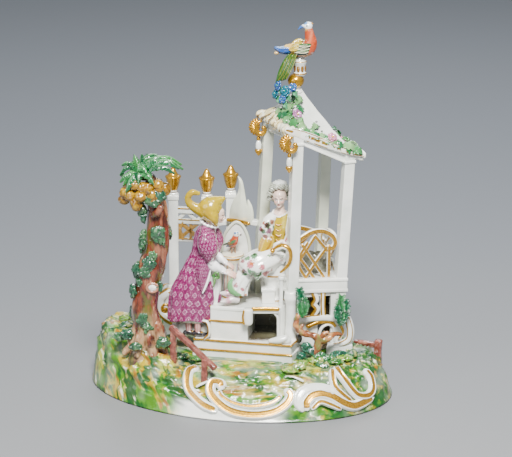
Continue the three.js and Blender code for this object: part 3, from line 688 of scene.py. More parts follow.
def ground(angle, inset, lift=0.0):
    """Places on the ground.

    The angle runs from the right end, and the inset from 0 at the rim to 1 in the middle.
    """
    t = np.radians(np.asarray(angle, float))
    inset = np.asarray(inset, float)
    x = BASE_LONG * np.cos(t) * (1 - inset)
    y = BASE_SHORT * np.sin(t) * (1 - inset)
    cos, sin = math.cos(BASE_TURN), math.sin(BASE_TURN)
    x, y = x * cos - y * sin, x * sin + y * cos
    front = np.maximum(0, -np.sin(t)) ** 2
    back = np.maximum(0, np.sin(t)) ** 2
    bank = 0.16 + 0.06 * np.cos(t) + 0.26 * front + 0.1 * back
    rise = 1 - (1 - np.minimum(inset / bank, 1)) ** BANK_POWER
    lawn = LAWN + HILL * step(-x, 45, 115) + RIGHT_RISE * step(x, 80, 140)
    return np.stack([x, y, lawn * rise + lift], -1)


def rim_share(angle):
    """1 where the front rim stays white below the large scroll, and 0 elsewhere."""
    return step(angle, -110, -100) * step(-angle, 61, 69)


def mound():
    angles = np.arange(0, 360, 0.64)
    insets = np.concatenate([[0.0, 0.004], np.linspace(0.012, 0.62, 96), [0.75, 0.9]])
    rings = [ground(angles, np.full(len(angles), i)) for i in insets]
    foot = ground(angles, np.full(len(angles), 0.015))
    foot[:, 2] = 0
    rings[0][:, 2] = 1.2
    rings[1][:, 2] = np.maximum(rings[1][:, 2], 2)
    shape = skin([foot] + rings)
    depth = np.append(np.repeat(np.append(0, insets), len(angles)), (0, 0.9))
    angle = (shape.around * 360 + 180) % 360 - 180
    p = shape.points
    left = step(-p[:, 0], 30, 80)[:, None]
    slanted = p * (0.6, 1, 1) + left * np.outer(p[:, 2] + 0.5 * p[:, 0], (0.35, 0, 0.45))
    rocks = layered_noise(slanted, 17, 3, 3)
    ledges = 1 - 2 * np.abs(noise_at(slanted * (0.5, 1, 1.4), 9, 9))
    clods = layered_noise(p, 6.0, 21, 2)
    smooth_rim = rim_share(angle) * step(-depth, -0.085, -0.06)
    strength = step(depth, 0.005, 0.05) * (1 - 0.9 * smooth_rim) * step(-depth, -0.6, -0.5)
    tufted = step(angle, -44, -10) * step(-angle, -50, -20) * step(p[:, 2], 14, 30)
    tufts = np.maximum(0, noise_at(p, 3.1, 31)) * tufted * 3.4
    shape.push(strength * (2.1 * rocks + 2.0 * ledges + 1.2 * clods + tufts - 1.8))
    shape.colour((0, 0, 0))
    shape.tint[:, 0] = (1 - 0.92
                        * smooth_rim) * (0.86 + 0.14 * step(noise_at(p, 12, 33), -0.5, 0.1))
    near_steps = bump(angle, -66, 16) * step(p[:, 2], 24, 38)
    right_bank = step(angle, -66, -30) * step(-angle, -40, 0) * 0.75
    shape.tint[:, 1] = np.clip(tufted * (0.35 + 0.5 * tufts) + 0.5 * near_steps + right_bank, 0, 1)
    return shape


# Each ribbon: angles and insets along it, its half width, that of its gold band, and its height.
ROCAILLE = (
    ([(-103.5, 0.312), (-106, 0.264), (-105, 0.2), (-102.5, 0.136), (-98.5, 0.096), (-94, 0.064),
      (-89, 0.045)], 5.2, 2.5, 3.2),
    ([(-88, 0.168), (-89, 0.2), (-92.5, 0.2), (-93, 0.16), (-91.5, 0.12), (-87, 0.072),
      (-82, 0.045), (-74.5, 0.036), (-67, 0.048), (-61.5, 0.08), (-58.5, 0.12), (-59.5, 0.155)],
     5.4, 2.9, 3.6),
    ([(-89, 0.15), (-87.5, 0.12), (-83, 0.09), (-77, 0.075), (-71, 0.08), (-66, 0.096),
      (-62.5, 0.125)], 2.8, 1.4, 3.4),
    ([(-55, 0.048), (-56, 0.08), (-54.5, 0.12), (-50.5, 0.142), (-46, 0.142), (-41.5, 0.125),
      (-37, 0.09)], 5.2, 0.0, 3.6),
    ([(-53.5, 0.05), (-52.5, 0.08), (-49, 0.104), (-44.5, 0.104), (-40.5, 0.084), (-36.5, 0.05),
      (-32, 0.03), (-26.5, 0.03), (-18.5, 0.036)], 5.6, 3.2, 3.8),
    ([(-51, 0.05), (-46.5, 0.072), (-42.5, 0.054), (-38.5, 0.03)], 3.2, 1.4, 3.0),
    ([(-27, 0.225), (-29, 0.19), (-29.5, 0.13), (-28.5, 0.075), (-26, 0.052), (-20.5, 0.044),
      (-16, 0.056), (-13, 0.09), (-13, 0.125)], 4.4, 2.1, 4.2),
    ([(-30.5, 0.22), (-34.5, 0.168), (-36.5, 0.12), (-35, 0.08), (-32, 0.045)], 4.0, 1.7, 3.6),
    ([(150, 0.05), (140, 0.12), (126, 0.08), (112, 0.05), (100, 0.12)], 6.2, 2.4, 3.6),
    ([(146, 0.03), (134, 0.06), (122, 0.03)], 3.4, 1.2, 3.0),
    ([(84, 0.05), (72, 0.13), (58, 0.08), (44, 0.05), (34, 0.13)], 6.2, 2.4, 3.6),
    ([(79, 0.03), (66, 0.065), (54, 0.03)], 3.4, 1.2, 3.0),
)


def rocaille_scroll(stations, half, band, height):
    """A raised ribbon on the bank, white with rolled edges and a band of gold in its groove."""
    count = 20 * len(stations)
    stations = np.array(stations, float)
    stations[:, 0] = np.degrees(np.unwrap(np.radians(stations[:, 0])))
    stations = spline(stations, count)
    path = ground(stations[:, 0], stations[:, 1])
    middle = ground(stations[:, 0], np.minimum(stations[:, 1] + 0.04, 0.9))
    beside = ground(stations[:, 0] + 1.5, stations[:, 1])
    up = np.cross(beside - path, middle - path)
    up *= np.sign(up[:, 2:])
    up /= np.linalg.norm(up, axis=1, keepdims=True)
    near_end = np.minimum(np.linspace(0, 1, count), np.linspace(1, 0, count)) * count
    swell = 0.55 + 0.45 * step(near_end, 0, 20) + 0.28 * bump(near_end, 6, 6)

    def section(angles, shares):
        a = np.cos(angles)
        return a, np.sin(angles) * (0.8 + 0.4 * bump(np.abs(a), 0.66, 0.22)) + 0 * shares

    pairs = np.stack([half * swell, height * swell], 1)
    shape = sweep(path + up * 0.4, pairs, 48, count, up, section, 0.6)
    if band:
        a = np.abs(shape.across()) + 0.05 * noise_at(shape.points, 9, 5)
        share = band / half
        ends = step(np.minimum(shape.along, 1 - shape.along), 0.02, 0.05)
        shape.gild(ends * (shape.outer() > 0) * step(-a, -share - 0.06, -share + 0.06))
    return shape


def rocaille_shoots():
    """Short pointed sprays that curl off the scrolls."""
    shoots = []
    for angle, inset, turn, length in (
        (-99, 0.15, 22, 11), (-50, 0.19, -20, 10), (132, 0.14, 10, 13), (118, 0.12, -20, 12),
        (64, 0.14, 10, 13),
        (50, 0.12, -20, 12),
    ):
        t = np.linspace(0, 1, 5)
        path = ground(angle + turn * 0.35 * t, inset + 0.006 * length * t, 1.4)
        path[:, 2] += 1.6 * np.sin(t * math.pi)
        width = length * np.array([0.16, 0.22, 0.18, 0.1, 0.03])
        shape = sweep(path, np.stack([width, 0.6 * width], 1), 14, 26)
        shoots.append(shape.gild(bump(shape.around, 0.25, 0.09) * step(shape.along, 0.1, 0.4)))
    return shoots


build("ground", ground_paint(), mound())
WHITE_GLAZE = glaze()
GILDED = gilding()
build("rocaille_scrolls", WHITE_GLAZE, [rocaille_scroll(*s) for s in ROCAILLE], rocaille_shoots())


# Steps and platform

FIRST_STEP, SECOND_STEP, PLATFORM, SLAB_UNDER, SLAB_TOP = 59, 79, 93, 108, 122
STAIR_CORNER, STAIR_TURN = (50.5, -46.5), math.radians(-12)


def stair(along, back):
    """Plan of the stairs: along the edge from its right end, and back from it."""
    x, y = STAIR_CORNER
    return (x - along * math.cos(STAIR_TURN) - back * math.sin(STAIR_TURN),
            y - along * math.sin(STAIR_TURN) + back * math.cos(STAIR_TURN))


def gold_line(points, radius):
    return sweep(points, [radius] * len(points), 8, 6 * len(points), cap=1.0)


def along_edge(corners, z, out=0.35):
    """A thin gold line on the edge of a slab, through plan points at a height."""
    points = []
    for a, b in zip(corners, corners[1:]):
        a, b = np.array([*a, z]), np.array([*b, z])
        points += [a + (b - a) * s for s in (0.0, 0.33, 0.66)]
    points.append(np.array([*corners[-1], z]))
    wobble = noise_at(points, 7, 2)[:, None] * (0, 0, 0.35)
    return gold_line(np.array(points) + wobble + (0, -out, 0), 1.15)


def steps():
    first = [stair(0, 0), stair(100, 0), stair(104, 22), stair(-5, 40)]
    lower = [stair(-0.8, -0.8), stair(101, -0.8), stair(105, 22), stair(-6, 40)]
    white = [
        slab(lower, 22, 48.6, 1.6),
        slab(first, 47.5, FIRST_STEP, 1.8),
        slab([stair(45, 3), stair(84, 3), stair(84, 40), stair(45, 40)],
             FIRST_STEP - 1, SECOND_STEP, 1.4),
        slab([stair(45, 6), stair(84, 6), stair(84, 40), stair(45, 40)], SECOND_STEP - 1,
             PLATFORM - 0.3, 1.4),
    ]
    lines = [
        along_edge([stair(0, 0), stair(30, 0), stair(70, 0), stair(99, 0)], FIRST_STEP - 0.9),
        along_edge([stair(0, 0), stair(50, 0), stair(100, 0)], 48.2, 0.9),
        along_edge([stair(-0.5, -0.8), stair(30, -0.8), stair(84, -0.8)], 29, 0.5),
        along_edge([stair(0, 0), stair(-3, 20), stair(-4.6, 38)], FIRST_STEP - 0.9),
        along_edge([stair(45, 3), stair(64, 3), stair(84, 3)], SECOND_STEP - 0.9),
        along_edge([stair(45, 6), stair(64, 6), stair(84, 6)], PLATFORM - 1.1),
    ]
    for z, end, back in ((SECOND_STEP, 84, 3), (FIRST_STEP, 99, 0)):
        lines.append(along_edge([stair(end, back), stair(end, back + 8)], z - 0.9))
    return white, lines


def volutes():
    """The tread's rolled end, the curl and rock by the standing figure's feet, and the lintel."""
    roll = lathe([(2.6, 77), (4.2, 78), (4.9, 80.6), (5.0, 90), (4.6, 93.6), (2.6, 94.4)],
                 (7.6, -37.4), 40)
    line = sweep([(3.4, -41, 93), (2.4, -40.4, 86), (3.6, -41.2, 79.4)],
                 [(1.1, 0.9)] * 3, 10, 24, FRONT)
    curl = sweep([(-37, -28, 78), (-33.4, -29, 77), (-31.4, -29.6, 71), (-31.8, -29.6, 64),
                  (-36, -29, 59.6)],
                 [(1.4, 2), (1.7, 2.2), (1.8, 2.4), (1.7, 2.2), (1.4, 2)], 22, 60, FRONT)
    curl.gild(step(curl.across(), -0.3, 0.1) * step(curl.outer(), -0.6, 0.0))
    rocks = fuse([ball((-56, -12, 64), (7, 7, 7.4), 28), ball((-46, -10, 62), (12, 7, 8), 28),
                  ball((-60, -12, 58), (7, 6, 7), 28), ball((-37, -17, 65), (4, 5, 6), 24),
                  ball((-55, -13, 66.6), (5, 5, 5.4), 24), ball((-63, -6, 62), (8, 9, 8), 28)],
                 voxel=0.7, rounds=4)
    rocks.push(0.5 * layered_noise(rocks.points, 5, 230))
    lintel = slab([(9, -37), (38, -37), (38, -30), (9, -30)], 88.4, 93.4, 1.2)
    band = sweep([(12, -37.2, 93.6), (24, -37.6, 94), (37.8, -37.2, 93.4)],
                 [(2.0, 1.3)] * 3, 14, 24, FRONT)
    wedge = fuse([sweep([(30, -40, 61), (38, -42, 62.6), (45, -42.4, 65)],
                        [(3, 2.4), (5, 4), (4, 3)], 24, 30),
                  ball((46, -41, 62), (5, 4.4, 4.4), 24)], voxel=0.6, rounds=3)
    return [roll, curl, rocks, lintel, wedge], [line, band]


ARCH_FRONT = -34.2


def arch():
    """The moulded jamb on the right of the passage beside the stairs."""
    jamb = [(37.4, 59), (37.4, 76), (37, 84), (34, 88)]
    return sweep([(x, ARCH_FRONT, z) for x, z in jamb], [(1.2, 1.6)] * len(jamb), 14, 40, FRONT)


def platform_mass():
    """The platform, with the passage under it left open at the front."""
    plan = [(-30, -27), (4.6, -32), (4.6, 12), (37, 12), (37, -33), (47, -20), (46, 34), (12, 46),
            (-30, 52), (-78, 44), (-82, 24), (-64, 14), (-34, 10)]
    top = [(-30, -27), (12, -34), (37, -33), (47, -20), (46, 34), (12, 46), (-30, 52), (-78, 44),
           (-82, 24), (-64, 14), (-34, 10)]
    bracket = sweep([(-74, 24, 91), (-83, 22, 84), (-81, 18, 72), (-71, 14, 64), (-58, 14, 60)],
                    [(6, 5), (6.4, 5), (5.6, 5), (6.4, 5), (4, 4)], 20, 50)
    bracket.gild(bump(bracket.around, 0.3, 0.07))
    spiral = [(-77 + (5 - 0.5 * k) * math.cos(math.radians(50 * k)), 14.5 - 0.3 * k,
               76 + (6 - 0.6 * k) * math.sin(math.radians(50 * k))) for k in range(10)]
    curl = sweep(spiral, [1.5] * 9 + [2.2], 12, 70)
    rim = along_edge([(-34, 10), (-64, 14), (-82, 24), (-78, 44), (-30, 52), (12, 46)],
                     PLATFORM - 1, 0)
    slabs = [slab(plan, 30, 90, 1.0), slab(top, 88.5, PLATFORM, 1.4)]
    return slabs, [bracket, curl.gild(0.9)], [rim]


step_shapes, step_lines = steps()
volute_shapes, volute_lines = volutes()
mass_slabs, mass_scrolls, mass_lines = platform_mass()
build("steps", WHITE_GLAZE, step_shapes, hard=True)
build("platform", WHITE_GLAZE, mass_slabs, hard=True)
build("step_scrolls", WHITE_GLAZE, volute_shapes, mass_scrolls, arch())
build("step_gilding", GILDED, step_lines, volute_lines, mass_lines)


# Arbour

POSTS = {
    "front": ((51, -25, 108), (56, -24, 270)),
    "right": ((97, -9, 60), (107.5, -8, 250)),
    "back": ((79, 43, 60), (86, 44, 252)),
    "left": ((18, 21, 87), (28, 21, 276)),
}
POST_WIDTH, POST_TURN = 10.8, 18
CELLAR = [(50, -26), (101, -12), (82, 46), (18, 26)]


def on_post(name, z):
    foot, head = (np.array(p, float) for p in POSTS[name])
    return foot + (head - foot) * (z - foot[2]) / (head[2] - foot[2])


def spread(plan, by):
    middle = np.mean(plan, axis=0)
    return [tuple(np.add(p, unit(np.subtract(p, middle)) * by)) for p in plan]


def post(name):
    """A square post, slightly uneven, with a plain block at its head."""
    foot, head = (np.array(p, float) for p in POSTS[name])
    half = POST_WIDTH / 2
    turn = math.radians(POST_TURN)
    u, v = np.array([math.cos(turn),
                     math.sin(turn), 0]), np.array([-math.sin(turn), math.cos(turn), 0])

    def ring(at, r):
        return [at + u * a * r + v * b * r for a, b in ((1, 1), (-1, 1), (-1, -1), (1, -1))]

    at = foot + (head - foot) * 0.93
    return [block(ring(foot, half), ring(head, half * 0.97), 0.8),
            block(ring(at, half * 1.15), ring(at + (0, 0, 3), half * 1.15), 0.9)]


def beams():
    runs = (("front", 266, "right", 240), ("right", 240, "back", 244), ("back", 244, "left", 266),
            ("left", 269, "front", 266))
    made = []
    for a, za, b, zb in runs:
        start, end = on_post(a, za), on_post(b, zb)
        out = np.cross(unit(end - start), UP)
        made.append(plank(start, end, 8, 5.6, out, 1.0))
        made.append(plank(start - (0, 0, 4.4), end - (0, 0, 4.4), 1.8, 7.4, out, 0.6))
    return made


# Each bar of the lattice: shares along the side and up it.
LATTICE_RAIL = ((0.04, 0.76), (0.18, 0.9), (0.4, 1.02), (0.62, 1.02), (0.8, 0.9), (0.87, 0.74),
                (0.82, 0.61), (0.75, 0.63))
LATTICE_STRAP = ((0.74, -0.04), (0.745, 0.3), (0.75, 0.66))
LATTICE_BARS = (
    ((0.2, 0.74), (0.42, 0.36), (0.64, -0.04)),
    ((0.7, 0.64), (0.48, 0.32), (0.26, -0.04)),
    ((0.46, 0.92), (0.58, 0.75), (0.71, 0.56)),
    ((0.46, 0.92), (0.28, 0.62), (0.12, 0.36)),
    ((0.3, 0.78), (0.15, 0.5), (0.14, 0.26), (0.26, 0.0)),
    ((0.12, 0.5), (0.28, 0.24), (0.44, -0.04)),
)


def lattice_side(a, b, plain=False):
    """Crossing bars under a curved rail, white with a broad band of gold on the outer face."""
    start, end = on_post(a, 122), on_post(b, 122)
    span = end - start
    out = unit(np.cross(span, UP))
    rise = 34 if plain else 45
    kinds = [(LATTICE_RAIL, 2.6, 2.1), (LATTICE_STRAP, 2.0, 1.8)]
    kinds += [(places, 1.8, 1.5) for places in (LATTICE_BARS[:3] if plain else LATTICE_BARS)]
    bars = []
    for places, wide, deep in kinds:
        path = [start + span * share + np.array([0, 0, up * rise]) for share, up in places]
        n = len(path)
        bar = sweep(path, [(wide, deep)] * n, 28, 12 * n, out, flat_section(0.6))
        face = np.abs(bar.outer()) if plain else bar.outer()
        bars.append(bar.gild(step(face, 0.3, 0.6) * step(-np.abs(bar.across()), -0.72, -0.56)))
    return bars


def arbour_floor():
    """The plain white slab under the arbour, a little lower on the right."""
    plan = spread([(51, -25), (103, -11), (84, 47), (18, 21)], 5)
    white = [slab(plan, SLAB_UNDER, SLAB_TOP - 3, 1.4),
             slab(spread(plan, 0.8), SLAB_TOP - 4, SLAB_TOP, 1.4),
             slab(spread(plan, 0.5), SLAB_UNDER - 1, SLAB_UNDER + 3, 1.0)]
    for part in white:
        part.points[:, 2] -= 0.065 * np.maximum(0, part.points[:, 0] - 51)
    return white


def wall_point(a, b, along, z, out=0.0):
    """A place on the wall from a to b: along it in millimetres, at a height and out from it."""
    a, b = np.array(a, float), np.array(b, float)
    u = unit(b - a)
    x, y = a + u * along + np.array([u[1], -u[0]]) * out
    return np.array([x, y, z])


def wall_out(a, b):
    """The level direction out of the wall from a to b."""
    return np.append(unit(np.array([b[1] - a[1], a[0] - b[0]])), 0)


def pierced_wall():
    """Under the arbour's floor: two balusters, a cross beam, an arched opening, pierced sides."""
    front, right, back, left = CELLAR
    white, gold = [], []
    length = math.dist(front, right)
    outward = wall_out(front, right)

    def bar(places, wide, deep, gild):
        path = [wall_point(front, right, *p) for p in places]
        shape = sweep(path, [(wide, deep)] * len(path), 20, 12 * len(path),
                      outward, flat_section(0.6))
        return shape.gild(gild * step(shape.outer(), 0.35, 0.8))

    def board(a, b, start, end, back_by, width, depth):
        """A plank set back from the wall from a to b, between two places along it and up it."""
        ends = (wall_point(a, b, *place, -back_by) for place in (start, end))
        return plank(*ends, width, depth, wall_out(a, b), 0.8)

    wavy = [(23, 105, 0), (25.4, 98, 0.4), (23, 93, 0.4), (26.4, 88, 0.6),
            (23, 82, 0.4), (21.4, 77, 0)]
    white.append(bar([(x + 1.6, z, o) for x, z, o in wavy], 2.4, 2.2, 0.0))
    gold.append(bar([(x - 0.9, z, o + 0.8) for x, z, o in wavy], 1.4, 2.0, 1.0))
    white.append(bar([(33.4, 105, 0), (33.2, 92, 0.2), (34, 77, 0)], 2.9, 2.0, 0.0))
    gold += [bar([(33.4 + k, 104, 1.4), (33.2 + k, 92, 1.6), (34 + k, 79, 1.4)], 0.85, 1.2, 1.0)
             for k in (-1.8, 1.7)]
    white.append(bar([(8, 77.6, 0.6), (20, 78.4, 1), (34, 78, 1), (45, 76, 0.6)], 3.0, 3, 0.0))
    gold.append(bar([(14, 80.8, 2.4), (22, 81.4, 2.6), (30, 81.2, 2.4)], 0.7, 0.8, 1.0))
    gold.append(bar([(18, 70, 0.6), (26, 73, 1), (34, 74, 1), (42, 72, 0.8), (46, 68, 0.4)], 2.0,
                    2.2, 1.0))
    white.append(bar([(29.5, 54, 1), (30, 62, 1), (33, 68, 1), (39, 70.4, 1), (44, 67, 1),
                      (45.6, 58, 1), (46, 52, 1)], 1.2, 2.0, 0.0))
    solid = [
        board(front, right, (-2, 104), (length + 2, 103), 3, 6, 7),
        board(front, right, (8, 50), (8, 104), 4, 15, 5),
        board(front, right, (22, 42), (22, 76), 4, 14, 5),
        board(front, right, (45.6, 42), (45.6, 104), 2, 7.6, 6),
    ]
    for a, b, holes in ((right, back, ((12, 26), (34, 48))), (back, left, ((12, 28),))):
        end = math.dist(a, b)
        edges = [0] + [e for hole in holes for e in hole] + [end]
        for lo, hi in zip(edges[::2], edges[1::2]):
            mid = (lo + hi) / 2
            solid.append(board(a, b, (mid, 36), (mid, 104), 2.5, hi - lo, 6))
        solid.append(board(a, b, (-1, 102), (end, 102), 2.2, 8, 7))
        solid.append(board(a, b, (-1, 50), (end, 50), 2.2, 20, 7))
        white += [arch_trim(a, b, lo, hi) for lo, hi in holes]
    solid.append(slab([(20, 12), (20, 24), (30, 24), (30, 12)], 90, 108, 0.8))
    solid.append(slab([(86, -22), (113, -17), (113, -5), (88, -9)], 36, 49, 1.6))
    return white, gold, solid


def arch_trim(a, b, lo, hi):
    """The gilt moulding round an arched opening in the wall from a to b."""
    mid = (lo + hi) / 2
    places = [(lo, 60), (lo, 86), (lo + 2, 94), (mid, 99), (hi - 2, 94), (hi, 86), (hi, 60)]
    path = [wall_point(a, b, x, z, 0.8) for x, z in places]
    trim = sweep(path, [(1.5, 1.6)] * len(path), 14, 60, wall_out(a, b))
    return trim.gild(0.9 * step(trim.outer(), 0.4, 0.8))


def supports():
    """The rounded column and colonnette at the front, and the scrolled foot at the right."""
    column = lathe([(7.4, 56), (7.6, 59), (6.2, 61), (6.4, 66), (5.4, 74), (5.3, 92), (6.2, 98),
                    (7.2, 102), (6.6, 106), (6.2, 109)], (50.5, -27), 40)
    colonnette = lathe([(3.0, 57), (3.1, 60), (2.0, 62), (1.9, 90), (1.9, 118), (2.8, 121),
                        (2.8, 124)], (40.6, -26), 24)
    scroll = [(103, -12, 92), (104.6, -13, 82), (108.6, -14, 73), (110.6, -15, 63),
              (109, -15.4, 54), (102, -16, 49.6), (95, -16, 48.6)]
    foot = sweep(scroll, [(3.4, 4), (3.6, 4), (3.8, 4), (4.0, 4), (4.0, 4), (3.4, 4), (2.4, 3)], 28,
                 90, FRONT)
    face = foot.outer() > 0
    foot.gild((bump(foot.across(), 0.72, 0.16) + bump(foot.across(), -0.5, 0.14)) * face)
    inner = sweep([(96, -14, 78), (100, -15, 70), (103, -15, 62), (99, -16, 55)],
                  [(1.8, 2), (2.2, 2.4), (2.0, 2.2), (1.4, 1.6)], 18, 50, FRONT)
    inner.gild(bump(inner.outer(), 1.0, 0.3))
    return [column, colonnette, foot, inner]


def pedestal():
    """The small square box under the seated figure."""
    plan = [(21.6, -20), (34.6, -19), (34.6, -8), (21.6, -9)]
    return [slab(plan, 93, 108, 1.0), slab(spread(plan, 1.0), 105.6, 109, 0.8)]


def shade_lump():
    """A dark rough lump filling the corner behind the lattice: painted shade, with paler painted
    highlights.
    """
    lump = fuse([ball((68, 2, 126), (15, 7, 16), 28), ball((80, 8, 124), (12, 8, 15), 28),
                 ball((60, -4, 124), (8, 6, 12), 24)], voxel=0.9, rounds=4)
    lump.push(1.4 * layered_noise(lump.points, 6, 33))
    # Dark all over as painted shade, paler in patches as painted highlights.
    tone = step(noise_at(lump.points, 7, 34), -0.3, 0.4)
    return lump.colour((0.09, 0.085, 0.055)).colour((0.26, 0.26, 0.18), 0.7 * tone)


def dark_inside():
    """Painted shade: dull olive-brown sheets in the passage, the hollow under the arbour and a blob
    by the branch.
    """
    passage = slab([(6.8, -33), (34, -33), (36.8, -20), (36.8, 11.9), (4.8, 11.9), (4.8, -30)], 59,
                   60.5, 0.3)
    passage_back = slab([(4.8, 10), (36.8, 10), (36.8, 12.2), (4.8, 12.2)], 58, 89, 0.3)
    sides = [slab([(x, -31), (x + 0.8, -31), (x + 0.8, 12), (x, 12)], 58, 90, 0.2)
             for x in (4.8, 36.4)]
    cellar = slab(spread(CELLAR, -7), 42, 44.5, 0.4)
    inner = [slab(plan, 44, 107, 0.3) for plan in (
        [(32, 12), (34, 12), (34, 26), (32, 26)],
        [(40, -17), (42, -17), (42, 10), (40, 10)],
    )]
    screen = slab([(58, -10), (98, 1), (97.5, 2.5), (57.5, -8.5)], 44, 104, 0.3)
    gap = ball((58.4, -31, 60.5), (3.4, 2, 5), 20)
    # Near-black with paler streaks: painted shade where the hollows are in shadow.
    shade = join([passage, passage_back, sides, cellar, inner, screen,
                  gap]).colour((0.035, 0.025, 0.012))
    p = shade.points
    streaks = step(noise_at(p * (1, 1, 0.12), 2.6, 77),
                   -0.1, 0.5) * step(p[:, 0], 22, 32) * (p[:, 0] < 38)
    return shade.colour((0.2, 0.19, 0.11), 0.8 * streaks)


wall_white, wall_gold, wall_solid = pierced_wall()
# The left and back posts are tinted grey-green all over: painted shade for the roof's shade on
# them.
far_posts = [join(post(n)).colour((0.74, 0.76, 0.66)) for n in ("left", "back")]
build("arbour_posts", WHITE_GLAZE, post("front"), post("right"), far_posts, beams(), hard=True)
build("arbour_floor", WHITE_GLAZE, arbour_floor(), wall_solid, pedestal(), hard=True)
build("arbour_lattice", WHITE_GLAZE, lattice_side("front", "right"),
      lattice_side("right", "back", True), lattice_side("back", "left", True),
      wall_white, supports())
build("arbour_gilding", GILDED, wall_gold)
# The dark sheets inside the hollows are painted shade.
build("shaded_hollows", enamel("painted_shade"), dark_inside(), hard=True)
# The dark lump behind the lattice is painted shade, and its paler mottling is painted highlights.
build("shade_lump", enamel("olive_painted_shade"), shade_lump())


# Leaves and flowers


def facing(out):
    """A rotation that turns Z to the given direction."""
    return np.array(Vector(out).to_track_quat("Z", "Y").to_matrix())


def leaf(root, tip, up, width, tint, vein, teeth, arch=0.2, thick=0.16):
    """A folded leaf with a darker vein and rim, on an arched midrib. Teeth cut its edges."""
    root, tip, up = (np.asarray(v, float) for v in (root, tip, up))
    length = np.linalg.norm(tip - root)
    rise = unit(up) * length * arch
    path = [root, root * 0.65 + tip * 0.35 + rise * 0.9, root * 0.3 + tip * 0.7 + rise, tip]
    count = max(14, 5 * teeth)
    t = np.linspace(0, 1, count)
    half = width * (np.sin(np.pi * np.clip(t, 0.02, 0.985) ** 0.75) ** 0.8)
    if teeth:
        half = half * (0.62 + 0.38 * np.abs(((t * teeth) % 1) - 0.15) * 1.6)
    centre = spline(path, count)

    def section(angles, shares):
        a = np.cos(angles)
        return a, np.sin(angles) * (1 - 0.5 * a * a) + 2.2 * np.abs(a) + 0 * shares

    shape = sweep(centre, np.stack([np.maximum(half, 0.25), np.full(count, width * thick)], 1), 10,
                  count, up, section)
    a = np.abs(shape.across())
    shape.colour(tint)
    return shape.colour(vein, 0.75 * bump(a, 0, 0.22) + 0.35 * step(a, 0.85, 1.0))


def flower(at, out, radius, tint, seed, heart=YELLOW):
    """Six cupped petals and four smaller ones round a small heart."""
    turn = facing(out)
    draw = random.Random(seed)
    parts = []
    for ring, lift, reach in ((6, 0.1, 0.58), (4, 0.34, 0.34)):
        for k in range(ring):
            a = TAU * (k + draw.random() * 0.3) / ring
            tilt = turn @ turn_about((-math.sin(a), math.cos(a), 0), -28)
            place = np.array([math.cos(a) * reach, math.sin(a) * reach, lift]) * radius
            centre = np.asarray(at) + turn @ place
            shade = 0.75 + 0.25 * draw.random()
            petal = ball(centre, (0.46 * radius, 0.46 * radius, 0.16 * radius), 14, tilt)
            parts.append(petal.colour(np.array(tint) * shade))
    middle = np.asarray(at) + turn @ np.array([0, 0, 0.45 * radius])
    parts.append(ball(middle, 0.2 * radius, 12).colour(heart))
    return parts


def grains(centre, radii, tint, seed, size, depth, sides):
    """A cushion of moss: an uneven lump of small granules, with painted shade between them and
    painted highlights on top.
    """
    shape = ball(centre, radii, sides)
    shape.push(0.3 * min(radii) * noise_at(shape.points, min(radii) * 1.1, seed + 2))
    lumps = noise_at(shape.points, size, seed)
    shape.push(depth * lumps + 0.4 * depth * noise_at(shape.points, size * 3, seed + 1))
    shape.colour(tint)
    # Darker in the hollows between granules: painted shade. Paler on the raised tops: painted
    # highlights.
    shape.colour(np.array(tint) * (0.3, 0.4, 0.4), step(-lumps, 0.0, 0.5))
    return shape.colour((0.3, 0.42, 0.22), 0.5 * step(lumps, 0.5, 0.9))


# Roof

ROOF_CORNERS = np.array([[45.6, -31, 273], [121.5, -10, 242], [99, 60, 243], [17.5, 26, 277]])
ROOF_APEX = np.array([58.5, 8, 310], float)


def roof_at(around, share, lift=0.0):
    """A place on the roof: round it by corners from the front one, and from eave to apex."""
    k = int(math.floor(around)) % 4
    a, b = ROOF_CORNERS[k], ROOF_CORNERS[(k + 1) % 4]
    f = around - math.floor(around)
    edge = a + (b - a) * f
    edge = edge + (ROOF_APEX - edge) * (0.05 * math.sin(math.pi * f) ** 2, 0.05
                                        * math.sin(math.pi * f) ** 2, 0)
    place = edge + (ROOF_APEX - edge) * share
    # A place just outside the eave has a share below 0, and its power is complex.
    place[2] = edge[2] + (ROOF_APEX[2] - edge[2]) * (0.45 * (share**1.7).real + 0.55 * share) + lift
    return place


def roof_out(around, share):
    a = roof_at(around - 0.03, share)
    b = roof_at(around + 0.03, share)
    c = roof_at(around, share + 0.04)
    n = np.cross(b - a, c - roof_at(around, share))
    return unit(n * (1 if n[2] > 0 else -1))


UNDER_RINGS = 6


def roof_shell():
    """The dished roof: its underside is the first six rings, and the rest is the uneven top."""
    turns = np.linspace(0, 4, 128, endpoint=False)
    outer = [0.0, 0.01, *np.linspace(0.05, 0.985, 26)]
    rings = [[roof_at(a, s, -6) for a in turns] for s in (0.8, 0.5, 0.25, 0.1)]
    rings += [[roof_at(a, 0.02, -4.5) for a in turns], [roof_at(a, 0.0, -3) for a in turns]]
    rings += [[roof_at(a, s) for a in turns] for s in outer]
    shape = skin(rings)
    above = shape.along > (UNDER_RINGS - 0.5) / (len(rings) - 1)
    shape.push(above * 0.8 * layered_noise(shape.points, 16, 12))
    return shape


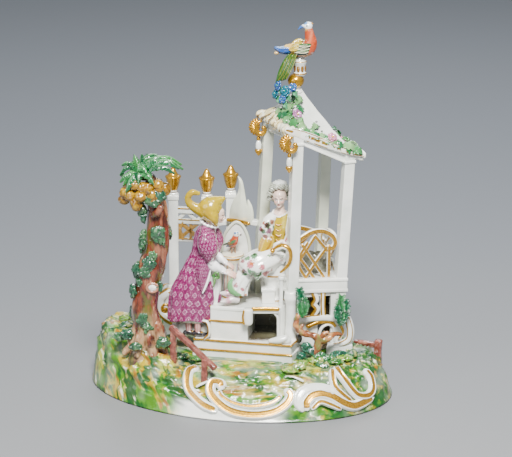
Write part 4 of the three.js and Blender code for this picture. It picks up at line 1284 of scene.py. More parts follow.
def eave_moulding(first, last, seed):
    """A broad white board along an eave, thinner at its ends, with broken dashes of gold."""
    turns = np.linspace(first + 0.001, last - 0.001, 9)
    path = np.array([roof_at(a, -0.012, 0) for a in turns])
    path[:, 2] += (2.6, 3.0, 2.8, 2.4, 2.0, 1.6, 1.2, 1.0, 1.8)
    out = unit(np.cross(path[-1] - path[0], (0, 0, 1)))
    deep = [3.2, 4.2, 4.6, 4.6, 4.2, 3.6, 2.8, 1.9, 0.9]
    board = sweep(path, [(d, 1.8) for d in deep], 28, 110, out, flat_section(0.5))
    board.push(0.35 * layered_noise(board.points, 12, seed))
    front = step(board.outer(), 0.2, 0.6)
    share = board.across()
    board.colour((0.98, 0.9, 0.66), 0.6 * front
                 * step(noise_at(board.points, 7, seed + 3), 0.0, 0.4))
    for line, size, gate in ((0.62, 7, -0.2), (-0.05, 5, -0.1), (-0.7, 6, -0.15)):
        dash = step(noise_at(board.points * (1, 1, 0.4), size, seed + int(10 * line)), gate,
                    gate + 0.2)
        board.gild(dash * front * bump(share, line, 0.19))
    return board


def frill():
    """The frill over the left eave: cream petals in two rows that roll over it, brown between."""
    petals = []
    places = [(3.04 + 0.085 * k, 0.2 - 0.03 * (k % 2), 0.0, 2.3 + 0.6 * (k % 3 == 0))
              for k in range(12)]
    places += [(3.1 + 0.12 * k, 0.36, 0.14, 2.8) for k in range(7)]
    for k, (around, high, low, wide) in enumerate(places):
        out = roof_out(around % 4, 0.03)
        slip = 0.05 * math.sin(2.7 * k)
        start, edge = roof_at(around, high, 0.4), roof_at((around + slip) % 4, low, 0)
        away = unit((edge - start) * (1, 1, 0))
        path = [start, edge * 0.6 + start * 0.4 + out * 1.9, edge + out * 1.3 + away,
                edge + away * 1.5 - (0, 0, 2.2)]
        shape = sweep(path, [(1.2, 1), (wide, 1.7), (wide * 1.1, 1.9), (1.4, 1.2)], 18, 28, out)
        shape.push(0.3 * noise_at(shape.points, 2.6, 60 + k))
        shape.colour((0.86, 0.72, 0.4))
        shape.colour((0.98, 0.94, 0.8), step(noise_at(shape.points, 3, 80 + k), 0.0, 0.4))
        groove = bump(np.abs(shape.across()), 1, 0.2) * step(shape.along, 0.1, 0.3)
        shape.colour((0.26, 0.13, 0.02), 0.95 * groove)
        petals.append(shape.gild(0.9 * step(shape.along, 0.86, 0.95) * (k % 2)))
    for around, share, long in ((3.93, 0.05, 20), (3.99, 0.05, 22),
                                (3.86, 0.06, 14), (0.04, 0.06, 18)):
        out = roof_out(around % 4, 0.05)
        top = roof_at(around, share + 0.12, 2)
        tip = roof_at(around, -0.02, 0) - (0, 0, long * 0.4)
        drop = sweep([top, (top + tip) / 2 + out * 2.6, tip],
                     [(2.8, 1.8), (4.2, 2.4), (0.8, 0.8)], 18, 28, out)
        rim = step(np.abs(drop.across()), 0.86, 0.96) * step(drop.along, 0.3, 0.5)
        drop.colour((0.98, 0.92, 0.74)).colour((0.4, 0.24, 0.06), 0.7 * rim)
        petals.append(drop.gild(step(drop.along, 0.88, 0.96)))
    return petals


ROOF_SPRAYS = (
    (3.72, 0.42, 3.55, 0.6, 4.0), (3.78, 0.3, 3.7, 0.5, 4.4), (3.83, 0.2, 3.78, 0.42, 4.2),
    (3.92, 0.42, 3.86, 0.62, 4.2),
    (3.95, 0.28, 4.02, 0.45, 4.4), (3.97, 0.16, 3.92, 0.34, 4.6), (3.65, 0.16, 3.6, 0.34, 4.2),
    (3.5, 0.2, 3.42, 0.4, 4.0),
    (0.05, 0.12, 0.0, 0.3, 4.6), (0.08, 0.3, 0.18, 0.42, 4.2), (0.1, 0.5, 0.22, 0.62, 3.8),
    (0.14, 0.16, 0.24, 0.28, 4.4),
    (0.2, 0.06, 0.32, 0.12, 4.6), (0.28, 0.14, 0.4, 0.16, 4.2), (0.33, 0.05, 0.46, 0.1, 4.4),
    (0.44, 0.13, 0.55, 0.12, 4.4),
    (0.5, 0.05, 0.62, 0.1, 4.6), (0.6, 0.13, 0.72, 0.1, 4.2), (0.66, 0.04, 0.78, 0.08, 4.6),
    (0.8, 0.12, 0.92, 0.06, 4.8),
    (0.86, 0.03, 0.995, 0.03, 5.0), (0.02, 0.66, 0.1, 0.8, 3.6), (3.9, 0.7, 3.98, 0.85, 3.6),
    (0.42, 0.3, 0.5, 0.4, 3.4),
    (1.2, 0.1, 1.35, 0.2, 4.6), (1.4, 0.08, 1.55, 0.16, 4.6), (1.6, 0.2, 1.48, 0.36, 4.6),
    (2.2, 0.1, 2.36, 0.2, 4.6),
    (2.42, 0.08, 2.58, 0.18, 4.6), (2.62, 0.14, 2.5, 0.34, 4.6), (2.8, 0.1, 2.92, 0.24, 4.6),
    (1.04, 0.06, 1.12, 0.2, 4.6),
)


def roof_leaves():
    parts = []
    for k, (a0, s0, a1, s1, width) in enumerate(ROOF_SPRAYS):
        root, tip = roof_at(a0, s0, 0.8), roof_at(a1, s1, 2.2)
        mid_out = roof_out(a0 % 4 if a0 % 1 else a0 + 0.02, min(s0 + 0.05, 0.9))
        tint = ((0.04, 0.2, 0.05), (0.13, 0.32, 0.11), (0.01, 0.12, 0.035),
                (0.2, 0.38, 0.15))[k % 4]
        parts.append(leaf(root, tip, mid_out, width * 1.15, tint, (0.0, 0.06, 0.03), 4, 0.26))
        side = np.cross(tip - root, mid_out)
        side = unit(side) * width * (1.4 if k % 2 else -1.4)
        tint = ((0.13, 0.32, 0.1), (0.02, 0.15, 0.04), (0.07, 0.25, 0.07))[k % 3]
        parts.append(leaf(root * 0.7 + tip * 0.3, root * 0.35 + tip * 0.65 + side + mid_out,
                          mid_out, width * 0.8, tint, (0.0, 0.06, 0.03), 3, 0.24))
    for points in (
        [(3.5, 0.14), (3.72, 0.22), (3.93, 0.14), (4.12, 0.2), (4.35, 0.13),
         (4.62, 0.11), (4.9, 0.08)],
        [(3.74, 0.7), (3.85, 0.5), (3.95, 0.3), (4.02, 0.14)],
        [(5.03, 0.1), (5.3, 0.14), (5.6, 0.12), (6.2, 0.14), (6.6, 0.12), (6.95, 0.15)],
    ):
        stem = sweep([roof_at(a, s, 1.5) for a, s in points],
                     [0.9] * len(points), 8, 10 * len(points))
        parts.append(stem.colour((0.06, 0.16, 0.04)))
    return parts


def roof_flowers():
    lilac, pink = (0.42, 0.16, 0.34), (0.6, 0.24, 0.36)
    spots = ((0.1, 0.4, 4, 5.6, lilac), (0.66, 0.12, 6, 5.4, pink), (1.5, 0.14, 3, 5, pink),
             (2.55, 0.14, 3, 5, lilac))
    parts = [flower(roof_at(a, s, lift), roof_out(a, s), r, tint, n) for n,
             (a, s, lift, r, tint) in enumerate(spots)]
    blues = ((38, 1, 312, 5.6), (45, -4, 307.4, 6.2), (51.6, -6, 312, 4.6), (35.6, 2, 303.4, 5.4),
             (42, -6, 300, 4.6))
    for n, (x, y, z, r) in enumerate(blues):
        tint = (0.0, 0.13, 0.2) if n % 2 else (0.02, 0.09, 0.3)
        parts.append(flower((x, y, z), unit((x - 58, y - 12, 8)), r, tint, n + 20,
                            (0.0, 0.16, 0.12)))
        parts.append(leaf((x + 2, y + 2, z - 2), (x + 5, y - 3, z - 9), (-0.6, -0.7, 0.4), 3.4,
                          (0.05, 0.25, 0.1), GREEN_DARK, 3))
    return parts


def roof_holes():
    """Small vents along the right-hand slope: dark dabs of painted shade where the holes are."""
    holes = [ball(roof_at(0.62, s, 0.35), (1.3, 1.3, 0.7), 12) for s in (0.34, 0.42, 0.5)]
    # Near-black: painted shade for the inside of the holes.
    return join(holes).colour((0.03, 0.02, 0.02))


def bracket(at, radius):
    """A gilt hooked scroll that opens to the upper right, a fan on its back and a bell drop."""
    x, y, z = at
    hook = []
    for k, a in enumerate(np.radians((85, 112, 142, 180, 215, 250, 285, 318, 348))):
        across, up = 0.76 * radius * math.cos(a), 1.08 * radius * math.sin(a)
        hook.append((x + 2.4 + across, y - 1.6 - 0.25 * k, z + up))
    scroll = sweep(hook, [1.0, 1.5, 1.9, 2.1, 2.3, 2.5, 2.5, 2.2, 1.8], 22, 100, FRONT)
    eye = ball((x + 0.9 * radius, y - 4.6, z + 0.3), 2.3, 20)
    fan = []
    for a in range(104, 262, 19):
        c, s = math.cos(math.radians(a)), math.sin(math.radians(a))
        path = [(x + wide * c, y + back, z + high * s) for wide, back, high in (
            (0.4 * radius, -0.6, 0.5 * radius), (radius, -0.4, radius),
            (radius + 3.0, 0.6, radius + 2.6))]
        fan.append(sweep(path, [(1.0, 1.6), (1.5, 2.0), (1.3, 1.5)], 16, 20, FRONT))
    plate = ball((x - 3.4, y + 2.0, z), (0.85 * radius, 1.6, radius + 1.2), 28)
    bead = lathe([(1.6, z - radius - 1.6), (1.2, z - 9.6), (2.0, z - 11), (1.9, z - 12.6),
                  (1.0, z - 14)], (x, y), 20)
    bell = lathe([(1.0, z - 13.6), (2.0, z - 15), (2.7, z - 17), (2.9, z - 20), (2.7, z - 22),
                  (2.3, z - 22.6)], (x, y), 28)
    tip = lathe([(2.3, z - 21.8), (3.5, z - 23.2), (3.6, z - 25), (2.2, z - 27.4), (0.7, z - 29.4)],
                (x, y), 28)
    return [scroll, eye, plate, tip] + fan, [bell], [bead]


FINIAL = (56, 8)


def finial():
    x, y = FINIAL
    orb = ball((x - 1.3, y, 315.6), (8.1, 8.1, 7.4), 40)
    under = lathe([(4.6, 303), (5.4, 305), (3.4, 307), (3.6, 310)], (x, y), 32)
    collar = lathe([(4.4, 320.6), (6.0, 322), (6.7, 323.6), (5.6, 325), (5.4, 330), (6.4, 333.6),
                    (6.6, 335.4), (5.0, 337), (3.2, 341), (4.4, 343.4)], (x + 2.6, y), 40)
    z = collar.points[:, 2]
    collar.gild(bump(z, 323.4, 0.8) + 0.8 * bump(z, 335.4, 0.6))
    slots = []
    for k in range(8):
        a = math.radians(45 * k - 64)
        c, s = math.cos(a), math.sin(a)
        slots.append(ball((x + 2.6 + 4.6 * c, y + 4.6 * s, 328.2), (1.8, 1.8, 4.4), 18))
    return [orb], [under, collar], join(slots).colour((0.2, 0.09, 0.01))


# Birds


def dab(shape, at, reach, tint, soft=0.2):
    """Paints the part of a shape within reach of a place. Reach is one number or three."""
    d = np.linalg.norm((shape.points - np.asarray(at, float)) / np.asarray(reach, float), axis=1)
    return shape.colour(tint, 1 - step(d, 1 - soft, 1 + soft))


BLUE = (0.02, 0.1, 0.34)
RED = (0.4, 0.045, 0.01)
BLACK = (0.01, 0.01, 0.012)


def feathers(root, step_by, reach, out, tints, width):
    """Overlapping feathers in a row, each from a place a step further on."""
    parts = []
    for k, tint in enumerate(tints):
        start = np.asarray(root, float) + np.asarray(step_by, float) * k
        parts.append(leaf(start, start + reach, out, width, tint,
                          np.array(tint) * 0.35, 0, 0.1, 0.3))
    return parts


def roof_bird():
    y = FINIAL[1]
    body = fuse([
        sweep([(45, y, 349), (51, y, 347.6), (59, y, 346.4), (66, y, 348.4), (69, y, 354),
               (68, y, 361), (66.6, y, 368)],
              [(3, 3), (6, 5.4), (7.4, 7), (8.0, 7.4), (6.4, 6), (5.0, 4.8), (3.9, 3.9)], 28, 60,
              FRONT),
        ball((66.2, y, 370.4), (4.6, 3.9, 3.9), 24),
        sweep([(64, y, 370), (60.2, y, 369.6), (56.6, y, 366.8)],
              [(2.0, 2.0), (1.8, 1.6), (0.6, 0.6)], 16, 20, FRONT),
        sweep([(65, y, 372.6), (68.5, y, 373), (71, y, 372.8)],
              [(2.0, 2.0), (1.4, 1.4), (0.6, 0.8)], 14, 16, FRONT),
    ], voxel=0.5, rounds=3)
    p = body.points
    body.colour((0.6, 0.38, 0.08))
    dab(body, (69, y, 355), (9, 12, 14.5), (0.42, 0.06, 0.015), 0.12)
    # A paler red stripe down the front of the neck: a painted highlight.
    body.colour((0.62, 0.2, 0.1), 0.6 * bump(p[:, 0] - 0.25 * (p[:, 2] - 355), 67.5, 1.6)
                * (p[:, 2] < 367) * (p[:, 0] > 62))
    dab(body, (62, y, 341), (12, 8, 4.5), (0.4, 0.16, 0.04))
    dab(body, (66.2, y, 371.4), (6, 6, 3.6), (0.78, 0.82, 0.84))
    dab(body, (59.6, y, 367.4), (4.6, 3, 4.2), BLUE)
    dab(body, (63.6, y, 373.4), (2.6, 4, 1.6), (0.1, 0.24, 0.5))
    dab(body, (70.4, y, 373.2), (1.6, 2, 1.4), (0.4, 0.22, 0.06))
    for side in (-1, 1):
        dab(body, (65, y + 3.6 * side, 371), (0.8, 1.6, 0.8), BLACK)
    cream, green, dark, pale = (0.5, 0.36,
                                0.03), (0.01, 0.1, 0.02), (0.0, 0.01, 0.01), (0.62, 0.62, 0.4)
    parts = [body]
    for side in (-1, 1):
        out = (0, side, 0.1)
        parts += feathers((61, y + side * 5.6, 354.6), (-1.6, 0.2 * side, -2.2),
                          (-9.5, -side * 1.2, -2.4), out, (cream, (0.66, 0.56, 0.2), cream), 2.4)
        parts += feathers((69, y + side * 6.8, 353.6), (-0.5, 0.1 * side, -1.5),
                          (-13, -side * 0.8, -0.6), out,
                          (green, pale, dark, pale, green, pale, dark), 1.3)
    tail = sweep([(57, y, 347), (48, y, 346.6), (40, y, 346.4), (34.5, y, 348.6)],
                 [(4.6, 4), (4.6, 4.6), (3.4, 4), (1.2, 1.6)], 24, 40, FRONT)
    ridges = tail.across(7)
    tail.push(0.3 * ridges).colour((0.01, 0.07, 0.28))
    # Darker in the grooves between the ridges: painted shade.
    tail.colour((0.01, 0.03, 0.16), 0.8 * step(-ridges, 0.4, 0.9))
    # Paler where the tail faces up: a painted highlight.
    parts.append(tail.colour((0.26, 0.4, 0.62), 0.7 * bump(tail.normals()[:, 2], 0.9, 0.2)))
    parts.append(ball((35.6, y, 343.4), (2.6, 2, 1.8), 16).colour((0.5, 0.34, 0.14)))
    drape = block([(46.6, y - 7.4, 342), (55, y - 6.6, 342), (55.4, y + 4, 342), (47, y + 4, 342)],
                  [(34.6, y - 4.6, 315.4), (43, y - 8, 317), (47.4, y - 3, 318),
                   (38, y + 1.6, 316)], 2.2)
    grain = np.array([[0.9, 0, 0.1], [0, 0.8, 0], [0.25, 0, 0.12]])
    stripe = noise_at(drape.points @ grain, 2.2, 9)
    drape.colour((0.02, 0.09, 0.006)).colour((0.12, 0.15, 0.01), step(stripe, 0.2, 0.6))
    plumes = []
    for k in range(6):
        root = np.array([47.5 + 1.5 * k, y - 6.6 - 0.3 * k, 343.0])
        plumes.append(leaf(root, (35.4 + 2.0 * k, y - 5.4 - 0.5 * k, 315.4 + 0.7 * k),
                           (-0.3, -1, 0.2), 2.2, ((0.02, 0.09, 0.005), (0.12, 0.15, 0.01))[k % 2],
                           (0.0, 0.03, 0.0), 0, 0.03, 0.35))
    legs = [sweep([(62 + 2 * d, y + 1.5 * d, 345), (60 + 1.5 * d, y + 1.2 * d, 337)],
                  [(2.8, 2.6), (2.2, 2.2)], 12, 14).colour((0.8, 0.82, 0.8)) for d in (-1, 1)]
    return parts + plumes + [drape] + legs


STOOL = (-8.2, 5)


def stool():
    """A drum stool with a moulded gilt seat and vertical stripes of cream, blue and pink."""
    drum = lathe([(10.6, 92), (10.8, 94), (9.8, 96), (9.5, 106), (9.3, 118), (9.8, 128),
                  (10.6, 132), (11.6, 134.5), (11.8, 136.5), (11, 138.4), (6, 139)], STOOL, 64)
    z = drum.points[:, 2]
    turn = np.arctan2(drum.points[:, 1] - STOOL[1], drum.points[:, 0] - STOOL[0])
    flutes = np.cos(turn * 12)
    drum.push(0.35 * flutes * step(z, 96, 98) * step(-z, -131, -129))
    stripe = (turn / TAU * 12) % 3
    drum.colour((0.76, 0.72, 0.56))
    panel = step(z, 97, 98) * step(-z, -131, -130)
    drum.colour((0.12, 0.26, 0.42), 0.9 * panel * step(flutes, -0.1, 0.3) * (stripe < 1))
    drum.colour((0.5, 0.13, 0.12), 0.85 * panel * step(flutes, -0.1, 0.3)
                * (stripe >= 1) * (stripe < 2))
    drum.colour((0.6, 0.4, 0.08), 0.7 * panel * step(flutes, 0.1, 0.4) * (stripe >= 2))
    return drum.gild(bump(z, 135, 1.2) + bump(z, 94, 0.9) + 0.8 * bump(z, 137.8, 0.5))


PARROT_FOOT, PARROT_SIZE, PARROT_SHIFT = np.array([-7.5, 4.5, 140.0]), 0.86, (0.4, 0, 3.2)


def parrot():
    body = fuse([
        sweep([(-12.5, 5, 144), (-9.5, 4.6, 145.5), (-7, 4, 149), (-5.6, 3.4, 153), (-4.4, 3, 157)],
              [(2.4, 2.4), (4.4, 4.2), (5, 4.8), (4.2, 4.2), (3.4, 3.4)], 28, 50, FRONT),
        ball((-3.8, 2.8, 158.8), (3.9, 3.5, 3.6), 24),
        sweep([(-1.4, 2.6, 159.6), (0.8, 2.4, 158.6), (1.2, 2.4, 156.4)],
              [(1.8, 1.8), (1.4, 1.4), (0.5, 0.5)], 14, 18, FRONT),
    ], voxel=0.45, rounds=3)
    body.colour((0.42, 0.05, 0.015))
    body.colour((0.6, 0.14, 0.03), 0.6 * step(noise_at(body.points, 2.2, 8), 0.1, 0.5))
    dab(body, (-3.4, 2.6, 160), (5.4, 5, 3.8), (0.78, 0.8, 0.76))
    dab(body, (-6, 0, 160.6), (2.4, 2.2, 1.2), (0.03, 0.12, 0.3))
    dab(body, (-2.4, -0.4, 161.4), (1.5, 2, 0.9), (0.06, 0.2, 0.36))
    dab(body, (0.8, 2.4, 157.4), (1.5, 2, 2.4), (0.05, 0.04, 0.045))
    for side in (-1, 1):
        dab(body, (-2.2, 2.7 + 3.2 * side, 159.6), (0.8, 1.4, 0.8), BLACK)
    parts = [body]
    for side in (-1, 1):
        parts += feathers((-5.0, 3.6 + side * 4.4, 152.4), (-0.6, -0.2 * side, -1.1),
                          (-9, side * -1.4, -5), (0, side, 0.1),
                          ((0.03, 0.13, 0.04), RED, (0.12, 0.16, 0.03), (0.01, 0.05, 0.14)), 1.6)
    parts += feathers((-10.4, 3.4, 145), (0, 1, 0), (-8.4, 0.3, -0.8), (0, -0.3, 1),
                      ((0.03, 0.02, 0.02), (0.02, 0.09, 0.03), (0.03, 0.02, 0.02),
                       (0.02, 0.09, 0.03)), 1.6)
    legs = [sweep([(-8 + 2 * d, 4.5 + d, 145.4), (-7.5 + 2 * d, 4.5 + d, 134)],
                  [(1.6, 1.6), (1.1, 1.1)], 10, 12).colour((0.24, 0.14, 0.08)) for d in (-1, 1)]
    bird = join(parts + legs)
    bird.points = (bird.points - PARROT_FOOT) * PARROT_SIZE + PARROT_FOOT + PARROT_SHIFT
    return bird


ENAMEL = enamel("painted_enamel")
left_gold, left_white, left_stem = bracket((18, 18, 266), 5.8)
front_gold, front_white, front_stem = bracket((48, -32, 262), 6.2)
orb, collar, collar_slots = finial()
moulding = [eave_moulding(k, k + 1, 40 + k) for k in (0, 1, 2)]
build("roof", WHITE_GLAZE, roof_shell())
build("eaves", WHITE_GLAZE, moulding, frill())
build("roof_garland", ENAMEL, roof_leaves(), roof_flowers(), roof_holes())
build("eave_brackets", GILDED, left_gold, front_gold, left_stem, front_stem)
build("bracket_bells", WHITE_GLAZE, left_white, front_white, collar)
build("finial_orb", GILDED, orb)
build("finial_slots", ENAMEL, collar_slots)
build("roof_bird", ENAMEL, roof_bird())
build("drum_stool", ENAMEL, stool())
build("parrot", ENAMEL, parrot())


# Colonnade behind the figures

PIERS = ((-68, 30), (-34, 24), (-10, 38))
PIER_TOP = 193


def pier(at):
    def square(half):
        return [(at[0] + half * a, at[1] + half * b) for a,
                b in ((-1, -1), (1, -1), (1, 1), (-1, 1))]

    shaft = slab(square(4.9), PLATFORM - 2, PIER_TOP - 2, 0.9)
    foot = slab(square(6.2), PLATFORM - 1, PLATFORM + 5, 1.0)
    return [shaft, foot, slab(square(5.7), PIER_TOP - 5, PIER_TOP, 0.9)]


def pier_knob(at):
    """A faceted gold cup with a sharp rim and a blunt cone on it, over a white collar."""
    cup = [(3.8, 197.4), (4.4, 198.4), (6.2, 204.6), (7.5, 210.6), (8.0, 211.6), (7.7, 212.4)]
    cone = [(6.0, 212.9), (4.6, 214.6), (3.1, 217.6), (2.2, 219.8), (0.9, 221.2)]
    gold = lathe(cup + cone, at, 48, 0)
    angle = np.arctan2(gold.points[:, 1] - at[1], gold.points[:, 0] - at[0])
    gold.push(0.28 * np.abs(np.cos(4 * angle)) * bump(gold.points[:, 2], 206, 7))
    collar = lathe([(4.9, 192.4), (5.1, 194), (4.3, 195.4), (3.9, 196.6), (4.2, 197.8)], at, 32)
    ring = lathe([(4.35, 195.7), (4.6, 196.1), (4.35, 196.5)], at, 32)
    return gold, collar, ring.colour((0.12, 0.07, 0.03))


def rail(a, b, low, high, thickness):
    middle = (low + high) / 2
    start, end = np.array([*a, middle], float), np.array([*b, middle], float)
    return plank(start, end, high - low, thickness, np.cross(end - start, UP), 0.9)


def balustrade():
    a, b, c = (np.array(p, float) for p in PIERS)
    last = np.array([18.0, 21.0])
    out = wall_out(a, b)

    def on(share, z, forward=0.0):
        x, y = a + (b - a) * share
        return np.array([x, y, z]) + out * forward

    def strut(p, q, width=3.4):
        return plank(on(*p), on(*q), width, 4, out, 0.6)

    white = [
        rail(a, b, 174, 180, 7), rail(a, b, 163, 168, 6), rail(a, b, 144, 148, 5),
        rail(b, c, 160, 166, 7),
        rail(b, c, PLATFORM - 1, 108, 6), rail(c, last, 163, 168, 8.4),
        rail(c, last, PLATFORM - 1, 120, 6),
        rail(a, b, PLATFORM - 1, 99, 7),
        strut((0.1, 166), (0.4, 176)), strut((0.4, 176), (0.7, 166)),
        strut((0.7, 166), (0.94, 176)),
    ]
    ochre = [
        strut((0.15, 146), (0.8, 166), 3.6), strut((0.15, 166), (0.8, 146), 3.6),
        *(strut((share, 146), (share, 166), 3) for share in (0.18, 0.52, 0.84)),
        *(plank(on(0.2, 156, 1.5), on(0.3, z, 1.5), 2.6, 3, out, 0.5) for z in (166, 146)),
        plank(on(0.12, 147.4, 2.4), on(0.88, 147.4, 2.4), 1.3, 1.6, out, 0.4),
    ]
    lines = [
        gold_line([on(s, 179.4, 3.4) for s in (0.08, 0.35, 0.65, 0.92)], 0.7),
        gold_line([on(s, 167.6, 3.0) for s in (0.08, 0.35, 0.65, 0.92)], 0.6),
        gold_line([np.append(b + (c - b) * s, 165.4) + (-0.8, -3.4, 0) for s in (0.2, 0.5, 0.85)],
                  0.6),
        gold_line([wall_point(c, last, s, 167.4 - 0.06 * abs(s - 14), 10.2)
                   for s in (3, 11, 19, 27)], 2.0),
    ]
    return white, join(ochre).colour((0.4, 0.22, 0.04)), lines


def upright_panel(a, b, outline, thickness, bevel):
    front = [wall_point(a, b, x, z, thickness / 2) for x, z in outline]
    back = [wall_point(a, b, x, z, -thickness / 2) for x, z in outline]
    return block(front, back, bevel)


def shell_flame():
    """The pointed shell over the rail with its flank, and the rounded shield behind the stool."""
    c, last = PIERS[2], (18, 21)
    out = wall_out(c, last)

    def path(places):
        return [wall_point(c, last, x, z, o) for x, z, o in places]

    flame = sweep(path([(13, 166, 5), (13.6, 175, 6), (14.4, 184, 6), (15.6, 193, 5.4),
                        (15.8, 201, 5), (14.2, 208, 4.4), (11.6, 211.6, 4)]),
                  [(11.6, 3.6), (11, 3.8), (8.6, 3.4), (4.8, 2.8), (2.8, 2.2), (1.9, 1.6),
                   (0.8, 0.8)], 36, 80, out)
    flame.push(0.5 * flame.across(5) * (1 - flame.along))
    flank = sweep(path([(22, 166, 2.6), (23.4, 174, 2.8), (23.6, 181, 2.4), (21.8, 188, 2)]),
                  [(6.0, 3.0), (5.2, 3.0), (3.4, 2.4), (1.0, 0.9)], 28, 44, out)
    edge = sweep(path([(19.6, 168, 7), (19.4, 177, 7.6), (17.6, 187, 7.4), (17, 196, 6.4)]),
                 [1.0, 1.2, 1.0, 0.6], 12, 40, out)
    outline = [(0, 92), (-1, 120), (0, 142), (3, 155), (9, 164), (15, 168), (22, 163), (27, 150),
               (29, 130), (28.4, 92)]
    shield = upright_panel((-18, 21), (10, 16), outline, 6, 1.8)
    border = sweep([wall_point((-18, 21), (10, 16), x, z, 3.4) for x, z in outline[:-1]],
                   [(1.6, 1.1)] * 9, 14, 90, wall_out((-18, 21), (10, 16)))
    return [flame, flank, edge, border], [shield]


# Tree


TRUNK = ((-93, 40), (-93, 66), (-96, 90), (-93, 108), (-90, 132), (-82.5, 155), (-81, 179),
         (-83, 200), (-88, 226))
TRUNK_RADII = (20, 14.4, 13, 12.6, 13.6, 12.2, 11.2, 8.6, 6)
TREE_Y = -28


def trunk():
    path = [(x, TREE_Y, z) for x, z in TRUNK]
    shape = sweep(path, TRUNK_RADII, 90, 170, FRONT)
    p = shape.points
    grain = layered_noise(p * (1, 1, 0.3), 7, 51, 3)
    knuckles = np.maximum(0, noise_at(p * (1, 1, 0.6), 13, 57)) * 3.0
    roots = shape.across(5, 0.6) * 3.0 * step(-p[:, 2], -84, -46)
    shape.push(1.0 * grain + knuckles + roots - 0.6)
    parts = [shape]
    for turn, reach, fall in ((-164, 24, 4), (-122, 21, 3), (-76, 20, 2), (-30, 22, 3), (20, 22, 2),
                              (70, 22, 2), (150, 23, 4)):
        a = math.radians(turn)
        c, s = math.cos(a), math.sin(a)
        root = [(-93 + 9 * c, TREE_Y + 9 * s, 76), (-93 + 14 * c, TREE_Y + 14 * s, 62),
                (-93 + 0.75 * reach * c, TREE_Y + 0.75 * reach * s, 55 - fall * 0.4),
                (-93 + reach * c, TREE_Y + reach * s, 50 - fall)]
        limb = sweep(root, [5.4, 5.6, 4.4, 2.4], 22, 40)
        parts.append(limb.push(0.8 * layered_noise(limb.points, 5, 60)))
    stub = sweep([(-84, -38, 192), (-80, -42, 196), (-78, -43, 201)], [4.4, 3.6, 3.0], 20, 20)
    return parts + [stub.push(0.5 * noise_at(stub.points, 3, 66))]


def knot():
    ring = sweep([(-87 + 5.4 * math.cos(a), -40.5, 117 + 4.6 * math.sin(a))
                  for a in np.linspace(0, TAU, 13)], [1.3] * 13, 14, 70, FRONT)
    ring.colour((0.36, 0.15, 0.09))
    heart = ball((-87, -39.6, 117), (4.6, 2.6, 3.9), 30)
    heart.push(0.35 * noise_at(heart.points, 1.8, 68))
    # The knot is real, but its near-white heart is a painted reflection.
    return [ring, heart.colour((0.86, 0.85, 0.78))]


MOSS = (
    (-81, -40, 173, 7, 3, 8), (-78, -38, 165, 4.4, 3, 5), (-90, -41.5, 142, 6, 2.6, 8),
    (-94, -42, 134, 5, 2.6, 6),
    (-86, -41, 150, 4, 2.4, 5), (-102.5, -36, 134, 4, 5, 8), (-96.5, -36, 160, 3.6, 4, 8),
    (-95, -36, 171, 3, 4, 5),
    (-106.5, -32, 111, 3.6, 5, 7), (-97, -42.5, 84, 5, 2.6, 7), (-92, -43, 76, 5, 2.6, 5),
    (-113, -37, 67, 6, 4, 5),
    (-77, -46, 61, 7, 4, 6), (-89, -41, 209, 6.4, 4, 5.4), (-79.5, -40, 212, 7, 4, 6),
    (-84, -42, 205, 6, 3, 4),
    (-96.6, -33, 196, 4.4, 4, 7), (-95, -34, 187, 3, 3.4, 5), (-71, -20, 168, 3, 6, 8),
    (-84, -15.4, 142, 7, 3, 9),
    (-78, -16, 186, 6, 3, 7), (-98, -15, 108, 7, 3, 8), (-86, -10, 70, 8, 4, 7),
    (-108, -20, 84, 3, 6, 7),
    (-104, -48, 58, 6, 4, 4), (-120, -30, 62, 6, 6, 4), (-79.6, -40, 118, 3, 2, 5),
    (-100, -38, 122, 3, 3, 4),
)


def moss():
    parts = []
    for k, (x, y, z, a, b, c) in enumerate(MOSS):
        tint = ((0.025, 0.1, 0.04), (0.05, 0.15, 0.055), (0.012, 0.075, 0.035))[k % 3]
        parts.append(grains((x, y, z), (a, b, c), tint, 70 + k, 1.7, 0.9, 44))
        for turn in (0.6, 2.5, 4.4):
            at = (x + 0.85 * a * math.cos(turn + k), y - 0.3, z + 0.85 * c * math.sin(turn + k))
            parts.append(grains(at, (0.42 * a, 0.7 * b, 0.36 * c), tint, 100 + k, 1.6, 0.7, 26))
    return parts


FRUITS = (
    (-102, -39, 222.6), (-90, -41, 218.6), (-80, -39, 220.6), (-97.4, -42, 211.6),
    (-108, -38, 211.6), (-101.6, -40, 203),
    (-113.6, -32, 206), (-112, -34, 213), (-86, -40, 211.6), (-106, -32, 219),
    (-92, -18, 214), (-102, -20, 208),
    (-82, -18, 218), (-110, -22, 213), (-74, -24, 214), (-95, -40, 220),
)


def fruits():
    """Knobbly golden fruits, with curled creases darkened as painted shade, paler painted
    highlights and dark dots.
    """
    parts = []
    for k, at in enumerate(FRUITS):
        fruit = ball(at, (5.9, 5.6, 5.4 + 0.8 * (k % 3)), 40)
        p = fruit.points
        curls = np.abs(noise_at(p, 4.4, 80 + k))
        fruit.push(0.9 * step(curls, 0, 0.3) - 0.5)
        # Darker in the curled creases: painted shade.
        fruit.colour((0.3, 0.145, 0.0)).colour((0.09, 0.025, 0.0), 0.9 * step(-curls, -0.13, -0.03))
        # Paler in patches: painted highlights.
        fruit.colour((0.42, 0.26, 0.0), 0.7 * step(noise_at(p, 3, 81 + k), 0.2, 0.5))
        parts.append(fruit.colour((0.05, 0.02, 0.0), step(noise_at(p, 1.5, 90 + k), 0.45, 0.6)))
    return parts


